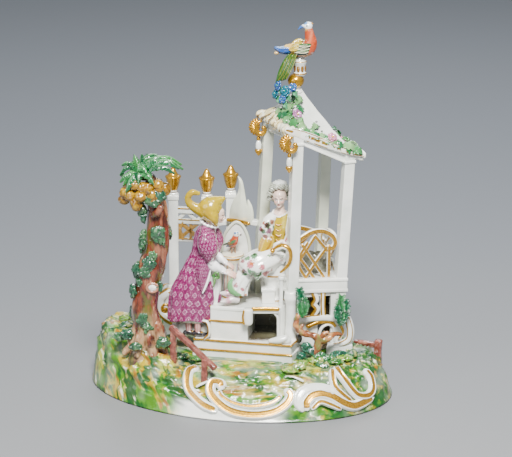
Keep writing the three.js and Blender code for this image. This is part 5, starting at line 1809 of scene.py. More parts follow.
# Each frond: where it starts, where it ends, how far its middle rises, and its half width.
FRONDS = (
    ((-98, -34, 236), (-60, -38, 239), 9, 5.6), ((-97, -30, 238), (-56, -33, 237), 9, 4.4),
    ((-92, -36, 235), (-64, -42, 235), 7, 5.6),
    ((-99, -36, 234), (-84, -46, 225), 6, 6.4), ((-102, -32, 238), (-72, -30, 246), 5, 5),
    ((-98, -26, 238), (-58, -20, 238), 9, 5.4),
    ((-99, -26, 240), (-76, -14, 240), 8, 6), ((-102, -34, 236), (-90, -44, 234), 6, 6),
    ((-101, -36, 232), (-111, -45, 217), 5, 6.4),
    ((-104, -34, 234), (-114, -38, 222), 5, 5), ((-103, -32, 237), (-117, -33, 231), 6, 4.6),
    ((-103, -30, 237), (-115, -30, 240), 4, 4),
    ((-102, -32, 237), (-110, -36, 243), 3, 3.8), ((-100, -32, 238), (-103, -34, 248), 1, 3.2),
    ((-98, -31, 238), (-96, -33, 251), 1, 3.2),
    ((-96, -31, 239), (-90, -33, 247), 2, 3.4), ((-94, -32, 238), (-79, -38, 243), 6, 5.6),
    ((-100, -24, 237), (-108, -14, 232), 7, 6),
    ((-98, -24, 237), (-96, -10, 230), 8, 6.4), ((-94, -25, 237), (-82, -12, 230), 8, 6.4),
    ((-104, -28, 236), (-117, -22, 227), 7, 5.6),
    ((-100, -28, 240), (-104, -22, 248), 1, 3.4), ((-98, -36, 234), (-99, -46, 224), 5, 5.6),
    ((-105, -36, 232), (-117, -37, 225), 4, 4.4),
)


def crown():
    """Broad toothed fronds in a bushy head that sweeps to the right over the first pier."""
    parts = []
    for k, (start, end, rise, width) in enumerate(FRONDS):
        start, end = np.array(start, float), np.array(end, float)
        away = unit((end - start) * (1, 1, 0.1))
        path = [start, start * 0.7 + end * 0.3 + (0, 0, 0.8 * rise),
                start * 0.3 + end * 0.7 + (0, 0, 0.85 * rise), end]
        tint = np.array(((0.005, 0.12, 0.03), (0.03, 0.2, 0.04), (0.0, 0.08, 0.02),
                         (0.015, 0.16, 0.035))[k % 4])
        parts.append(frond(path, width, away, tint, 5 + k % 3))
    parts.append(grains((-97, -29, 231), (10, 8, 6), (0.0, 0.09, 0.03), 7, 3, 1.4, 50))
    return parts


def frond(path, width, away, tint, teeth):
    """A long toothed leaf with a lighter midrib and slanting veins, along a curved path."""
    count = 10 * teeth
    t = np.linspace(0, 1, count)
    saw = 1 - ((t * teeth) % 1)
    half = width * np.sin(np.pi * np.clip(t * 0.86 + 0.14, 0,
                                          0.99) ** 0.9) ** 0.7 * (0.62 + 0.38 * saw)

    def section(angles, shares):
        a = np.cos(angles)
        return a, np.sin(angles) * (1 - 0.5 * a * a) - 1.5 * np.abs(a) ** 1.5 + 0 * shares

    sections = np.stack([np.maximum(half, 0.4), np.full(count, 1.15)], 1)
    shape = sweep(path, sections, 16, count, np.array([0, -0.45, 1.0]) - 0.15 * away, section)
    a = np.abs(shape.across())
    shape.colour(tint)
    veins = np.abs(((shape.along * teeth + 0.35 * a) % 1) - 0.5)
    shape.colour(tint * 0.35, 0.8 * step(veins, 0.4, 0.48))
    shape.colour(tint * 0.35, 0.7 * bump(a, 0.3, 0.12))
    shape.colour((0.16, 0.4, 0.16), 0.5 * bump(a, 0, 0.14) + 0.35 * step(a, 0.92, 1.0))
    return shape


# Fences, branch and foliage


def pole(foot, head, width=6.4):
    """A rough four-sided timber."""
    foot, head = np.array(foot, float), np.array(head, float)
    out = np.cross(head - foot, (0.3, 1, 0.2))
    middle = (foot + head) / 2 + unit(out) * 0.6
    shape = sweep([foot, middle, head], [(width / 2, width / 2)] * 3, 28, 60, out,
                  flat_section(0.45), 0.35)
    return shape.push(0.3 * layered_noise(shape.points, 5, 71))


def fences():
    return [
        pole((-66, -46, 38), (-66, -46, 76)), pole((-34.5, -74, 20), (-34.5, -74, 54)),
        pole((-69, -44.5, 77), (-25, -80, 47), 5.6),
        pole((140, -1, 22), (140, -1, 47), 8), pole((117, 13.5, 40), (141, -2, 42), 5.6),
    ]


def branch():
    main = [(64, -32, 92), (58.6, -34, 88), (55.4, -36, 82), (56, -37, 74), (61.5, -37, 68.6),
            (69, -37, 67), (76, -37, 63), (77, -38, 56), (75, -39, 46)]
    limb = sweep(main, [2.0, 2.4, 2.8, 3.2, 3.4, 3.2, 3.8, 4.0, 4.6], 26, 120)
    foot = sweep([(74, -37, 65), (82, -36, 60), (88, -34, 62), (94, -31, 64.6), (101, -28, 63.6)],
                 [3.4, 3.8, 3.2, 2.8, 1.8], 26, 60)
    spur = sweep([(80, -36, 61), (83, -37, 67), (87, -37, 69)], [3.0, 2.4, 1.4], 18, 26)
    spur2 = sweep([(62, -37, 68), (60, -38, 73), (62, -38, 77)], [2.6, 2.0, 1.2], 18, 26)
    parts = []
    for k, shape in enumerate((limb, foot, spur, spur2)):
        lumps = layered_noise(shape.points, 5.5, 120 + k, 3)
        shape.push(0.8 * lumps + 0.5 * np.abs(noise_at(shape.points, 3.4, 124 + k)))
        # Paler on the raised lumps as painted highlights, darker in the hollows between them as
        # painted shade.
        shape.colour((0.24, 0.07, 0.02)).colour((0.5, 0.24, 0.08), 0.9 * step(lumps, 0.1, 0.7))
        shape.colour((0.06, 0.015, 0.005), 0.9 * step(-lumps, 0.2, 0.8))
        shape.colour((0.1, 0.16, 0.03), 0.7 * step(noise_at(shape.points, 6, 140 + k), 0.3, 0.6))
        parts.append(shape)
    return parts


def feather(path, width, tint, seed):
    """A feathery spray: a curved rib with fine forked leaflets to both sides."""
    count = 20
    rib = spline(path, count)
    parts = [sweep(path, [1.3] * (len(path) - 1) + [0.6], 10, 30).colour((0.02, 0.12, 0.02))]
    draw = random.Random(seed)
    for k in range(1, count):
        along = unit(rib[min(k + 1, count - 1)] - rib[k - 1])
        side = unit(np.cross(along, FRONT))
        reach = width * (0.6 + 0.4 * math.sin(math.pi * k / count)) * (0.8 + 0.35 * draw.random())
        for turn in (-1, 1):
            forward = 0.45 + 0.4 * draw.random()
            droop = (0, -2.2 * draw.random(), 0)
            tip = rib[k] + side * turn * reach + along * reach * forward + droop
            tone = np.array(tint) * (0.6 + 0.8 * draw.random())
            parts.append(leaf(rib[k], tip, (0, -1, 0.4), 1.0, tone, tone * 0.4, 0, 0.25, 0.5))
            fork = rib[k] * 0.45 + tip * 0.55
            parts.append(leaf(fork, fork + along * reach * 0.5 + side * turn * 0.5,
                              (0, -1, 0.4), 0.8, tone, tone * 0.4, 0, 0.2, 0.5))
    return parts


def foliage():
    green, bright = (0.0, 0.1, 0.035), (0.02, 0.18, 0.045)
    parts = [
        feather([(62, -33, 86), (61, -34, 95), (60.6, -34, 104), (58.6, -34, 113)], 4.8, green, 1),
        feather([(63, -34, 86), (64.4, -35, 94), (63.6, -35, 103)], 3.8, bright, 2),
        feather([(62, -34, 84), (59.4, -35, 91), (59, -35, 99)], 3.2, bright, 7),
        feather([(99, -24, 72), (100.6, -23, 82), (100, -22, 92), (101, -21, 101)], 5.0, bright, 4),
        feather([(100, -24, 72), (104.4, -23, 81), (105.6, -22, 89), (105, -21, 96)], 4.2,
                green, 5),
        feather([(99, -25, 74), (97.6, -25, 82), (97, -24, 91)], 3.8, green, 8),
        grains((61.6, -30, 96), (3.4, 3, 8), green, 131, 1.8, 1.1, 40),
        grains((101, -20, 84), (4, 3, 10), green, 132, 1.8, 1.1, 40),
    ]
    for k, (x, y, z, a, b, c) in enumerate((
        (72, -38, 50, 7, 4, 5), (78, -41, 46, 6, 4, 4), (66, -38, 54, 5, 3, 5),
        (84, -40, 43, 6, 4, 4), (98, -33, 44, 8, 5, 4),
        (91, -38, 42, 5, 4, 3), (60, -42, 46, 5, 4, 4), (106, -30, 42, 6, 5, 4),
    )):
        parts.append(grains((x, y, z), (a, b, c), ((0.01, 0.09, 0.05), (0.03, 0.15, 0.05))[k % 2],
                            133 + k, 1.7, 1.0, 44))
    return parts


LAWN_TUFTS = (
    (-150, 0.42), (-138, 0.3), (-122, 0.42), (-112, 0.5), (-36, 0.42), (-28, 0.32), (-18, 0.3),
    (-8, 0.28), (2, 0.26),
    (12, 0.3), (-22, 0.42), (-12, 0.4), (24, 0.34), (38, 0.36), (56, 0.4), (168, 0.24),
    (178, 0.2), (-168, 0.24),
    (150, 0.34), (132, 0.4), (96, 0.42), (-44, 0.36), (-52, 0.32),
)


def lawn_tufts():
    parts = []
    for k, (angle, inset) in enumerate(LAWN_TUFTS):
        at = ground(angle, inset, 1.0)
        tint = ((0.03, 0.17, 0.02), (0.12, 0.26, 0.02), (0.01, 0.1, 0.03))[k % 3]
        tuft = grains(at, (6 + k % 4, 5 + k % 3, 2.8), tint, 150 + k, 2.0, 1.1, 40)
        parts.append(tuft.colour((0.6, 0.56, 0.16), 0.5
                                 * step(noise_at(tuft.points, 3, 170 + k), 0.1, 0.5)))
    return parts


knob_cups, knob_collars, knob_rings = zip(*(pier_knob(p) for p in PIERS))
rail_white, rail_ochre, rail_lines = balustrade()
flame_shapes, shield_shapes = shell_flame()
build("colonnade", WHITE_GLAZE, [pier(p) for p in PIERS], rail_white, shield_shapes, hard=True)
build("colonnade_panels", ENAMEL, rail_ochre, hard=True)
# The flame, its flank and its edge are tinted grey-green all over: painted shade.
for shape in flame_shapes:
    shape.colour((0.76, 0.78, 0.68))
build("shell_flame", WHITE_GLAZE, flame_shapes, knob_collars)
build("pier_knobs", GILDED, knob_cups, rail_lines)
build("knob_rings", ENAMEL, knob_rings)
build("tree_trunk", bark(), trunk())
build("tree_knot_and_moss", ENAMEL, knot(), moss(), fruits())
build("tree_crown", ENAMEL, crown())
build("fences", timber(), fences())
build("branch_and_foliage", ENAMEL, branch(), foliage())
build("lawn_tufts", ENAMEL, lawn_tufts())


# Figures


def placed(shape, at, turn, size):
    """A shape modelled round the origin, turned, sized and put in place."""
    shape.points = shape.points * size @ np.asarray(turn).T + np.asarray(at, float)
    return shape


SKIN_TONE = (0.76, 0.55, 0.45)
BLUSH = (0.62, 0.2, 0.16)
LIP = (0.42, 0.04, 0.03)
BROWN = (0.06, 0.02, 0.01)
EYE_GAP = 0.27  # from the middle of the face to an eye, in half heights of the head


def head(at, turn, size):
    """A calm, regular face on an oval head that first looks along X. size is half its height."""
    parts = [
        ball((-0.1, 0, 0.2), (0.84, 0.72, 0.78), 40), ball((0.2, 0, -0.12), (0.6, 0.57, 0.78), 40),
        ball((0.34, 0, -0.68), (0.36, 0.32, 0.26), 24), ball((0.3, 0, 0.42), (0.46, 0.5, 0.42), 24),
        ball((0.66, 0, -0.76), (0.14, 0.16, 0.12), 16),
        sweep([(0.74, 0, 0.04), (0.84, 0, -0.12), (0.93, 0, -0.27)], [0.07, 0.085, 0.11], 16, 20),
        ball((0.9, 0, -0.29), (0.11, 0.1, 0.09), 16),
        ball((0.78, 0, -0.475), (0.07, 0.16, 0.045), 16),
        ball((0.77, 0, -0.555), (0.075, 0.13, 0.05), 16),
    ]
    for side in (-1, 1):
        parts += [
            ball((0.5, 0.27 * side, -0.26), (0.26, 0.24, 0.24), 20),
            sweep([(0.77, 0.1 * side, 0.14), (0.74, 0.28 * side, 0.19), (0.6, 0.44 * side, 0.12)],
                  [0.05, 0.055, 0.03], 12, 16),
            ball((0.66, EYE_GAP * side, 0), (0.11, 0.14, 0.1), 18),
            ball((0.83, 0.075 * side, -0.32), (0.08, 0.06, 0.055), 12),
            ball((-0.02, 0.68 * side, -0.08), (0.14, 0.08, 0.2), 16),
        ]
    shape = fuse(parts, voxel=0.03, rounds=3)
    shape.colour(SKIN_TONE)
    for side in (-1, 1):
        dab(shape, (0.66, 0.36 * side, -0.27), (0.3, 0.2, 0.18),
            np.array(BLUSH) * 0.5 + np.array(SKIN_TONE) * 0.5, 0.6)
        dab(shape, (0.76, EYE_GAP * side, -0.005), (0.16, 0.135, 0.062), (0.88, 0.88, 0.86), 0.25)
        dab(shape, (0.78, EYE_GAP * side - 0.01, 0), (0.14, 0.052, 0.058), (0.02, 0.02, 0.03), 0.2)
        for k in range(7):
            s = (k - 3) / 3
            for wide, high, reach, soft in ((0.15, 0.075, (0.16, 0.034, 0.022), 0.4),
                                            (0.17, 0.21, (0.2, 0.045, 0.026), 0.5)):
                dab(shape, (0.74, (EYE_GAP + wide * s) * side, high - 0.045 * s * s),
                    reach, BROWN, soft)
    dab(shape, (0.84, 0, -0.475), (0.14, 0.135, 0.04), LIP, 0.4)
    dab(shape, (0.84, 0, -0.553), (0.14, 0.11, 0.042), (0.5, 0.08, 0.06), 0.4)
    dab(shape, (0.86, 0, -0.512), (0.14, 0.12, 0.012), (0.16, 0.01, 0.01), 0.5)
    return placed(shape, at, turn, size)


FINGER_CURL = 0.35  # how far a fingertip bends down, in its own lengths


def arm_hand(wrist, along, palm_side, size):
    """A small hand with four slightly bent fingers and a thumb. The palm faces palm_side."""
    x = unit(along)
    z = -unit(np.asarray(palm_side, float) - x * np.dot(palm_side, x))
    y = np.cross(z, x)
    turn = np.stack([x, y, z], 1)
    parts = [ball((2.4, 0, 0), (3.0, 2.3, 1.3), 24),
             sweep([(-2, 0, 0), (0.6, 0, 0)], [1.5, 1.7], 16, 12)]
    for y0, length in ((-1.65, 3.6), (-0.55, 4.3), (0.6, 4.1), (1.6, 3.2)):
        bend = FINGER_CURL * length
        parts.append(sweep([(3.6, y0, 0), (4.4 + 0.5 * length, y0 * 1.12, -0.2 * bend),
                            (4.2 + length, y0 * 1.15, -bend)], [0.78, 0.7, 0.52], 12, 16))
    parts.append(sweep([(1.0, 1.8, -0.2), (2.8, 3.2, -0.8), (4.2, 3.6, -1.4)],
                       [0.85, 0.78, 0.55], 12, 16))
    shape = fuse(parts, voxel=0.28, rounds=2).colour(SKIN_TONE)
    dab(shape, (6.8, 0, -1), (2.2, 4, 3), BLUSH, 0.8)
    shape.colour(SKIN_TONE, 0.55)
    return placed(shape, wrist, turn, size)


def dress(levels, cols, rows, folds, hem=None):
    """A gathered skin through levels of (height, x, y, half width, half depth, fold depth)."""
    levels = np.asarray(levels, float)
    z = np.linspace(levels[0, 0], levels[-1, 0], rows)
    smooth = spline(levels, 12 * len(levels))
    x, y, a, b, deep = (np.interp(z, smooth[:, 0], smooth[:, k])[:, None] for k in range(1, 6))
    t = np.linspace(0, TAU, cols, endpoint=False)[None, :]
    fall = (z[:, None] - z[0]) / np.ptp(z)
    fold = sum(w * np.cos(n * t + p + q * fall) for n, w, p, q in folds)
    r = 1 + deep * fold
    low = z[:, None] + (1 - fall) ** 6 * (hem(t) if hem else 0 * t)
    rings = np.stack([x + a * r * np.cos(t), y + b * r * np.sin(t), low], 2)
    inner = []
    for scale, rise in ((0.5, 8), (0.86, 5), (0.96, 1)):
        ring = rings[0].copy()
        middle = ring[:, :2].mean(0)
        ring[:, :2] = middle + (ring[:, :2] - middle) * scale
        ring[:, 2] += rise
        inner.append(ring)
    return skin(np.concatenate([inner, rings]))


COAT_ROWS, INNER_ROWS = 130, 3
COAT_FOLDS = ((7, 0.5, 0.4, 0.9), (11, 0.32, 1.9, -0.7), (17, 0.18, 0.2, 0.5))


def coat():
    levels = [(76, -48.4, -12, 24.8, 15.6, 0.12), (86, -47.4, -12, 25, 15, 0.11),
              (99, -46, -12, 25.4, 14, 0.1), (112, -44.8, -12, 22.6, 12.8, 0.08),
              (124, -43.4, -12, 18.2, 11.4, 0.06), (136, -40.6, -12, 13.6, 10, 0.03),
              (146, -38, -12, 10.4, 9, 0.01), (156, -36.4, -12, 10.4, 9.8, 0),
              (165, -34.8, -12, 9.8, 10.2, 0), (171.4, -33, -12, 7.8, 9.6, 0),
              (176, -31, -12, 4.6, 5.6, 0)]
    shape = dress(levels, 150, COAT_ROWS, COAT_FOLDS, lambda t: 1.4 * np.cos(4 * t + 0.6))
    gathers(shape, 240, 1.0, (1, 1, 0.2))
    inside = shape.along < INNER_ROWS / (COAT_ROWS + INNER_ROWS - 1)
    return shape.colour((1, 1, 1), inside)


def gathers(shape, seed, depth, stretch):
    """Soft creases in a brocade piece, darkened as painted shade where they are deep."""
    crease = layered_noise(shape.points * stretch, 6.5, seed)
    shape.push(depth * crease)
    # The deep creases are darkened: painted shade.
    shape.colour((0.5, 0.36, 0.46), 0.85 * step(-crease, 0.02, 0.2))


def sleeve(path, radii, ruffle=0.0, wrinkles=0.05):
    def section(angles, shares):
        r = 1 + wrinkles * np.cos(3 * angles + 9 * shares) + ruffle * shares**4 * np.cos(9 * angles)
        return np.cos(angles) * r, np.sin(angles) * r
    return sweep(path, radii, 48, 60, FRONT, section)


def coat_sleeves():
    near = sleeve([(-36, -18.5, 171), (-33.6, -22, 164), (-32, -23.6, 156), (-31, -23.6, 148),
                   (-30.6, -23, 141)], [5.0, 8.8, 10.2, 9.0, 5.6])
    far = sleeve([(-34, -4, 170), (-28, -1, 162), (-25.4, -1, 153), (-26, -4, 145), (-27, -7, 141)],
                 [5.0, 7.8, 8.0, 7, 4.8])
    hanging = sweep([(-36, -22.4, 146), (-36.6, -24.4, 137), (-37.4, -25.4, 127), (-38, -26.4, 117),
                     (-37.8, -27, 108)],
                    [(6.2, 3.6), (7.2, 3.4), (6.6, 3.0), (4.0, 2.2), (0.8, 0.8)], 40, 60, FRONT)
    hanging.push(0.5 * hanging.across(4, 1)).colour((0.5, 0.42, 0.48))
    gathers(near, 241, 1.3, (1, 1, 0.7))
    gathers(far, 242, 1.0, (1, 1, 0.7))
    return [near, far, hanging]


def coat_whites():
    """Collar, cuffs, the shirt's forearms, the linings' edges and the petticoat."""
    petticoat = dress([(74, -44.4, -12, 19.4, 12.6, 0.09), (90, -42, -12, 20, 12.2, 0.08),
                       (104, -38.6, -12, 18.4, 11, 0.06), (120, -34.8, -12, 15, 9.4, 0.04),
                       (134, -34, -12, 10, 8, 0.02)], 110, 56,
                      ((9, 0.5, 1.1, 0.6), (14, 0.3, 0, 0)))
    collar = sweep([(-31 + 7.6 * math.cos(a), -12 + 8.4 * math.sin(a), 174.6 - 2.6 * math.cos(a))
                    for a in np.linspace(0, TAU, 15)], [(2.0, 1.3)] * 15, 16, 90)
    collar.push(0.35 * np.cos(collar.along * TAU * 14))
    edge = sweep([(-29.8, -25.4, 132), (-31.4, -27, 123), (-34.6, -28, 114), (-37.6, -28, 107.4)],
                 [(0.8, 0.8), (1.2, 1.0), (1.1, 0.9), (0.7, 0.6)], 14, 46, FRONT)
    near = sleeve([(-30.8, -23.4, 139.4), (-28, -23, 135.4), (-22, -22.4, 131.4),
                   (-16.6, -22, 128.2)], [4.4, 5.2, 4.6, 3.2], 0.0, 0.09)
    far = sleeve([(-25, -8, 142), (-20, -10, 138), (-15, -12, 134)], [3.6, 3.8, 2.6], 0.0, 0.08)
    ruffles = []
    for centre, radius, tilt in (((-30.6, -23.4, 140), 5.4, 0.6), ((-16, -22, 128), 3.6, 0.8),
                                 ((-15, -12, 134), 3, 0.8)):
        ring = []
        for k in range(22):
            a = TAU * k / 21
            r = radius * (1 + 0.09 * math.cos(7 * a))
            out, up = r * math.sin(a) * tilt, r * math.sin(a) * (1.4 - tilt)
            ring.append(np.array(centre) + (-out, r * math.cos(a), up))
        ruffles.append(sweep(ring, [(1.2, 1.0)] * 22, 12, 110).colour((0.9, 0.84, 0.85)))
    return [petticoat, collar, edge, near, far, ruffles]


def legs_and_shoes():
    parts = []
    for x, y, ahead in ((-52.6, -18, 0.5), (-43.4, -21, 2.5)):
        calf = sweep([(x, y, 80), (x + 0.4, y, 72), (x + 0.4, y, 64)],
                     [(4, 4), (3.6, 3.4), (2.8, 2.8)], 22, 24)
        calf.colour((0.6, 0.34, 0.32)).colour((0.42, 0.12, 0.12), 0.8 * (calf.across(7) > 0.3))
        shoe = sweep([(x - 3.4, y, 62), (x + 0.6, y, 62.6), (x + 5, y - 0.4, 61.6),
                      (x + 9 + ahead, y - 0.8, 60.8)],
                     [(2.8, 2.8), (3.4, 3.2), (3.2, 2.6), (1.7, 1.5)], 24, 40)
        shoe.colour((0.01, 0.008, 0.01))
        buckle = ball((x + 4.4, y - 1.4, 64),
                      (1.6, 2.0, 0.9), 14).colour((0.8, 0.6, 0.25)).gild(1.0)
        heel = sweep([(x - 3.6, y, 61), (x - 3.6, y, 58.6)],
                     [1.9, 1.6], 14, 8).colour((0.2, 0.02, 0.015))
        parts += [calf, shoe, buckle, heel]
    return parts


def cap_hat():
    """The floppy yellow cap: a hood with a peak, points at the cheeks and a curled tail."""
    hood = fuse([
        ball((-30, -12, 190.5), (12, 10.6, 11), 36),
        sweep([(-30, -12, 195), (-22, -12, 198), (-16.6, -12, 201)], [8, 5.4, 2.4], 26, 36, FRONT),
        sweep([(-30, -15, 188), (-26, -19, 182), (-23.6, -19.6, 175.6)],
              [8.4, 5.6, 1.8], 26, 36, FRONT),
        sweep([(-30, -9, 188), (-26, -5, 182), (-24, -4.6, 177)], [8.4, 5.6, 1.8], 26, 36, FRONT),
        sweep([(-36, -12, 188), (-44, -12, 191), (-50.4, -12, 196), (-52, -12, 202),
               (-47.6, -12, 207), (-41, -12, 206)], [8.4, 5.6, 4.0, 3.4, 3.2, 2.2], 26, 70, FRONT),
        sweep([(-36, -13, 184), (-32, -16, 182), (-27, -18, 179)], [4, 4, 3], 20, 24),
    ], voxel=0.6, rounds=5)
    hood.push(0.45 * layered_noise(hood.points, 9, 200))
    hood.colour((0.42, 0.3, 0.0))
    return hood.colour((0.36, 0.2, 0.0), 0.5 * step(noise_at(hood.points, 14, 202), 0.0, 0.8))


def standing_trim():
    """The green bow at the coat's front and the hair at the cheek."""
    bow = [
        sweep([(-27, -24.4, 125), (-23.6, -25, 128), (-22, -24, 123), (-26.4, -24.4, 122)],
              [(1.6, 1), (2.6, 1.4), (2.6, 1.4), (1.6, 1)], 16, 30).colour((0.07, 0.2, 0.04)),
        sweep([(-26.6, -24.5, 124), (-25.6, -25, 118), (-27, -24.6, 113)],
              [(1.6, 0.9), (2.2, 1), (1.2, 0.7)], 14, 24)
        .colour((0.12, 0.28, 0.07)),
        ball((-26.6, -24.6, 124), (2, 1.6, 2), 16).colour((0.03, 0.14, 0.03)),
    ]
    hair = sweep([(-24, -18.4, 186), (-27, -19.4, 180), (-31, -17.4, 176)], [3, 3, 2], 18, 24)
    hair.push(0.4 * hair.across(5)).colour((0.12, 0.05, 0.02))
    return bow + [hair]


STANDING_TURN = turn_about(UP, -12) @ turn_about((0, 1, 0), 8)
SEATED_TURN = turn_about(UP, -97) @ turn_about((0, 1, 0), 4)


PAINTED_FLOWERS = (
    (2, -27, 128, 4.4, (0.2, 0.05, 0.16)), (12, -27, 130, 5, (0.05, 0.22, 0.08)),
    (17, -28, 127, 4.4, (0.08, 0.27, 0.1)),
    (9, -27, 125, 3.4, (0.1, 0.28, 0.12)), (25, -25, 128, 4.2, (0.42, 0.07, 0.1)),
    (29, -22, 131, 3.2, (0.42, 0.12, 0.08)),
    (24, -14, 146, 3.6, (0.4, 0.07, 0.05)), (2, -22, 139, 3.0, (0.45, 0.16, 0.18)),
    (14, -20, 145, 2.6, (0.08, 0.22, 0.08)),
    (-4, -25, 114, 2.6, (0.45, 0.14, 0.18)), (2, -26, 110, 2.4, (0.42, 0.08, 0.1)),
    (33, -17, 135, 2.8, (0.2, 0.05, 0.16)),
)


SLEEVE_FLOWERS = (
    (26, -14.2, 174, 3.4, (0.3, 0.05, 0.05)), (31, -12.2, 176, 3.0, (0.32, 0.08, 0.02)),
    (22.4, -15.4, 168, 3.0, (0.05, 0.2, 0.07)),
    (28.6, -15.8, 168.4, 3.2, (0.24, 0.05, 0.12)), (24.6, -15.2, 162.6, 2.8, (0.4, 0.08, 0.06)),
    (32.6, -11.6, 171, 2.6, (0.06, 0.2, 0.08)),
)


def paint_flowers(shape, flowers):
    """Ragged painted blooms and leaves with a darker ring, by place, radius and tint."""
    for x, y, z, r, tint in flowers:
        ragged = r * (1 + 0.35 * noise_at(shape.points, 1.6, int(10 * r)))
        d = np.linalg.norm(shape.points - (x, y, z), axis=1)
        shape.colour(tint, 0.9 * (1 - step(d, ragged * 0.85, ragged)))
        shape.colour(np.array(tint) * 0.3, 0.7 * bump(d, 0.4 * r, 0.16 * r))
    return shape


def seated_skirt():
    """The flowered overskirt over the knees, its scalloped hem and the narrower skirt below it."""
    def folds(count, depth, phase):
        def section(angles, shares):
            r = 1 + depth * (0.3 + shares) * np.cos(count * angles + phase + 1.5 * shares)
            r = r + 0.4 * depth * np.cos(2 * count * angles + 1.3 * phase) * shares
            return np.cos(angles) * r, np.sin(angles) * r
        return section

    over = sweep([(43, 0, 141), (36, -5, 140), (26, -11, 136.6), (16, -14.6, 133),
                  (7.6, -15.6, 130), (3.4, -16, 127)],
                 [(9, 9), (12.6, 11.6), (15.6, 13), (16.4, 13.6), (13.4, 12), (8.4, 8)], 120, 120,
                 UP, folds(6, 0.045, 0.3), 0.4)
    over.push(1.1 * np.cos(over.points[:, 0] * 0.75) * step(-over.normals()[:, 2], 0.3, 0.8))
    under = sweep([(6, -14, 124), (1, -16, 116.6), (-2, -17.4, 110), (-3.4, -18, 104.6)],
                  [(8, 8), (9.6, 9), (10.4, 9.4), (11, 10)], 90, 60, UP, folds(7, 0.08, 1.2), 0)
    return paint_flowers(over, PAINTED_FLOWERS), paint_flowers(under, PAINTED_FLOWERS)


def seated_lining():
    """The green lining that shows where the skirt turns back at the left."""
    fold = sweep([(-8.4, -26, 121), (-10.2, -27, 116), (-9, -28, 110.6), (-4.6, -29, 107),
                  (0.6, -29, 105.6)], [(1.4, 1.1), (2.8, 1.6), (3.5, 1.8), (2.9, 1.5), (0.9, 0.8)],
                 24, 60, (-0.5, -1, 0.2))
    fold.colour((0.12, 0.34, 0.12)).colour((0.4, 0.56, 0.34), 0.8
                                           * bump(np.abs(fold.across()), 1, 0.12))
    return fold


def seated_bodice():
    """A yellow bodice with a paler front, its ruffle, lacing and sash, and a hanging cuff."""
    levels = [(138, 38.5, -1, 8.4, 8, 0), (147, 38.6, -1, 6.8, 6.4, 0),
              (156, 38.4, -1.2, 7.0, 6.6, 0), (166, 38.4, -1.4, 9.2, 7.8, 0),
              (174, 38.8, -1.2, 10, 7.6, 0), (181, 39.2, -1, 8.8, 6.4, 0),
              (186, 39.6, -0.8, 4.8, 4.4, 0), (190, 40, -0.8, 3.6, 3.6, 0)]
    shape = dress(levels, 80, 70, ((6, 0.4, 0, 0),))
    p = shape.points
    shape.colour((0.46, 0.33, 0.0))
    shape.colour((0.58, 0.46, 0.06), step(p[:, 0], 40, 44) * step(p[:, 2], 166, 170))
    neckline = 180.4 + 3.2 * np.abs(p[:, 0] - 38) / 8 + 3 * step(p[:, 1], -2, 4)
    shape.colour(SKIN_TONE, step(p[:, 2] - neckline, -0.4, 0.6))
    ruffle = sweep([(32, -3, 183), (34, -6, 181.6), (37.8, -7.4, 180.4), (42, -6.6, 181.6),
                    (45.4, -3, 183), (43.4, 2.6, 184.6), (38.4, 4.4, 185), (33.6, 2.2, 184.6),
                    (32, -3, 183)], [(1.0, 0.8)] * 9, 14, 120)
    ruffle.push(0.3 * np.cos(ruffle.along * TAU * 16)).colour((0.9, 0.9, 0.86))
    lacing = [sweep([(35.4, -8.4, z), (38, -9.3, z - 1.2), (40.6, -8.6, z)],
                    [0.8] * 3, 10, 14).colour((0.42, 0.18, 0.01)) for z in (173, 167.5, 162, 156.5)]
    cuff = sweep([(28.4, -11.6, 161), (26.4, -13.6, 156), (23.4, -15.4, 150), (20.6, -17, 144),
                  (19.6, -18, 139.6)],
                 [(4.6, 2.6), (6.4, 3.0), (5.6, 2.8), (3.4, 2.2), (0.9, 0.8)], 30, 50, FRONT)
    cuff.push(0.7 * cuff.across(4, 0.6) * (1 - cuff.along))
    # Darker in the hollows of the cuff's folds: painted shade.
    cuff.colour((0.46, 0.3, 0.0)).colour((0.26, 0.11, 0.0), 0.8
                                         * step(cuff.across(4, 0.6), -0.4, -0.9))
    sash = [sweep([(30 + k, -10.6, 149 - 2.2 * k), (36 + 0.6 * k, -10.4, 153.4 - 2.4 * k),
                   (43, -8.6, 156 - 2.8 * k)], [(1.4, 1.2), (1.9, 1.5), (1.4, 1.2)], 16,
                  30).colour(tint) for k,
            tint in enumerate(((0.8, 0.8, 0.74), (0.4, 0.22, 0.05), (0.78, 0.74, 0.66),
                               (0.3, 0.14, 0.2)))]
    return [shape, ruffle, lacing, cuff, sash]


def seated_sleeves():
    near = sleeve([(32, -5, 180), (27.6, -8, 174), (25.6, -10, 167), (26.6, -11, 160)],
                  [4.6, 6.8, 6.8, 4.2], 0.1, 0.07)
    paint_flowers(near, SLEEVE_FLOWERS)
    far = sleeve([(45.6, 1, 180), (50, -3, 172), (49.6, -8, 162), (46, -11.4, 155.6)],
                 [4.2, 5.4, 5.0, 3.4], 0.1, 0.07)
    return [near, far]


def ruffled_cuff(centre, radius, tint):
    ring = [np.array(centre)
            + (radius * math.cos(a), 0.9 * radius * math.sin(a), 0.9 * math.cos(5 * a))
            for a in np.linspace(0, TAU, 24)]
    return sweep(ring, [(1.3, 1.1)] * 24, 12, 110).colour(tint)


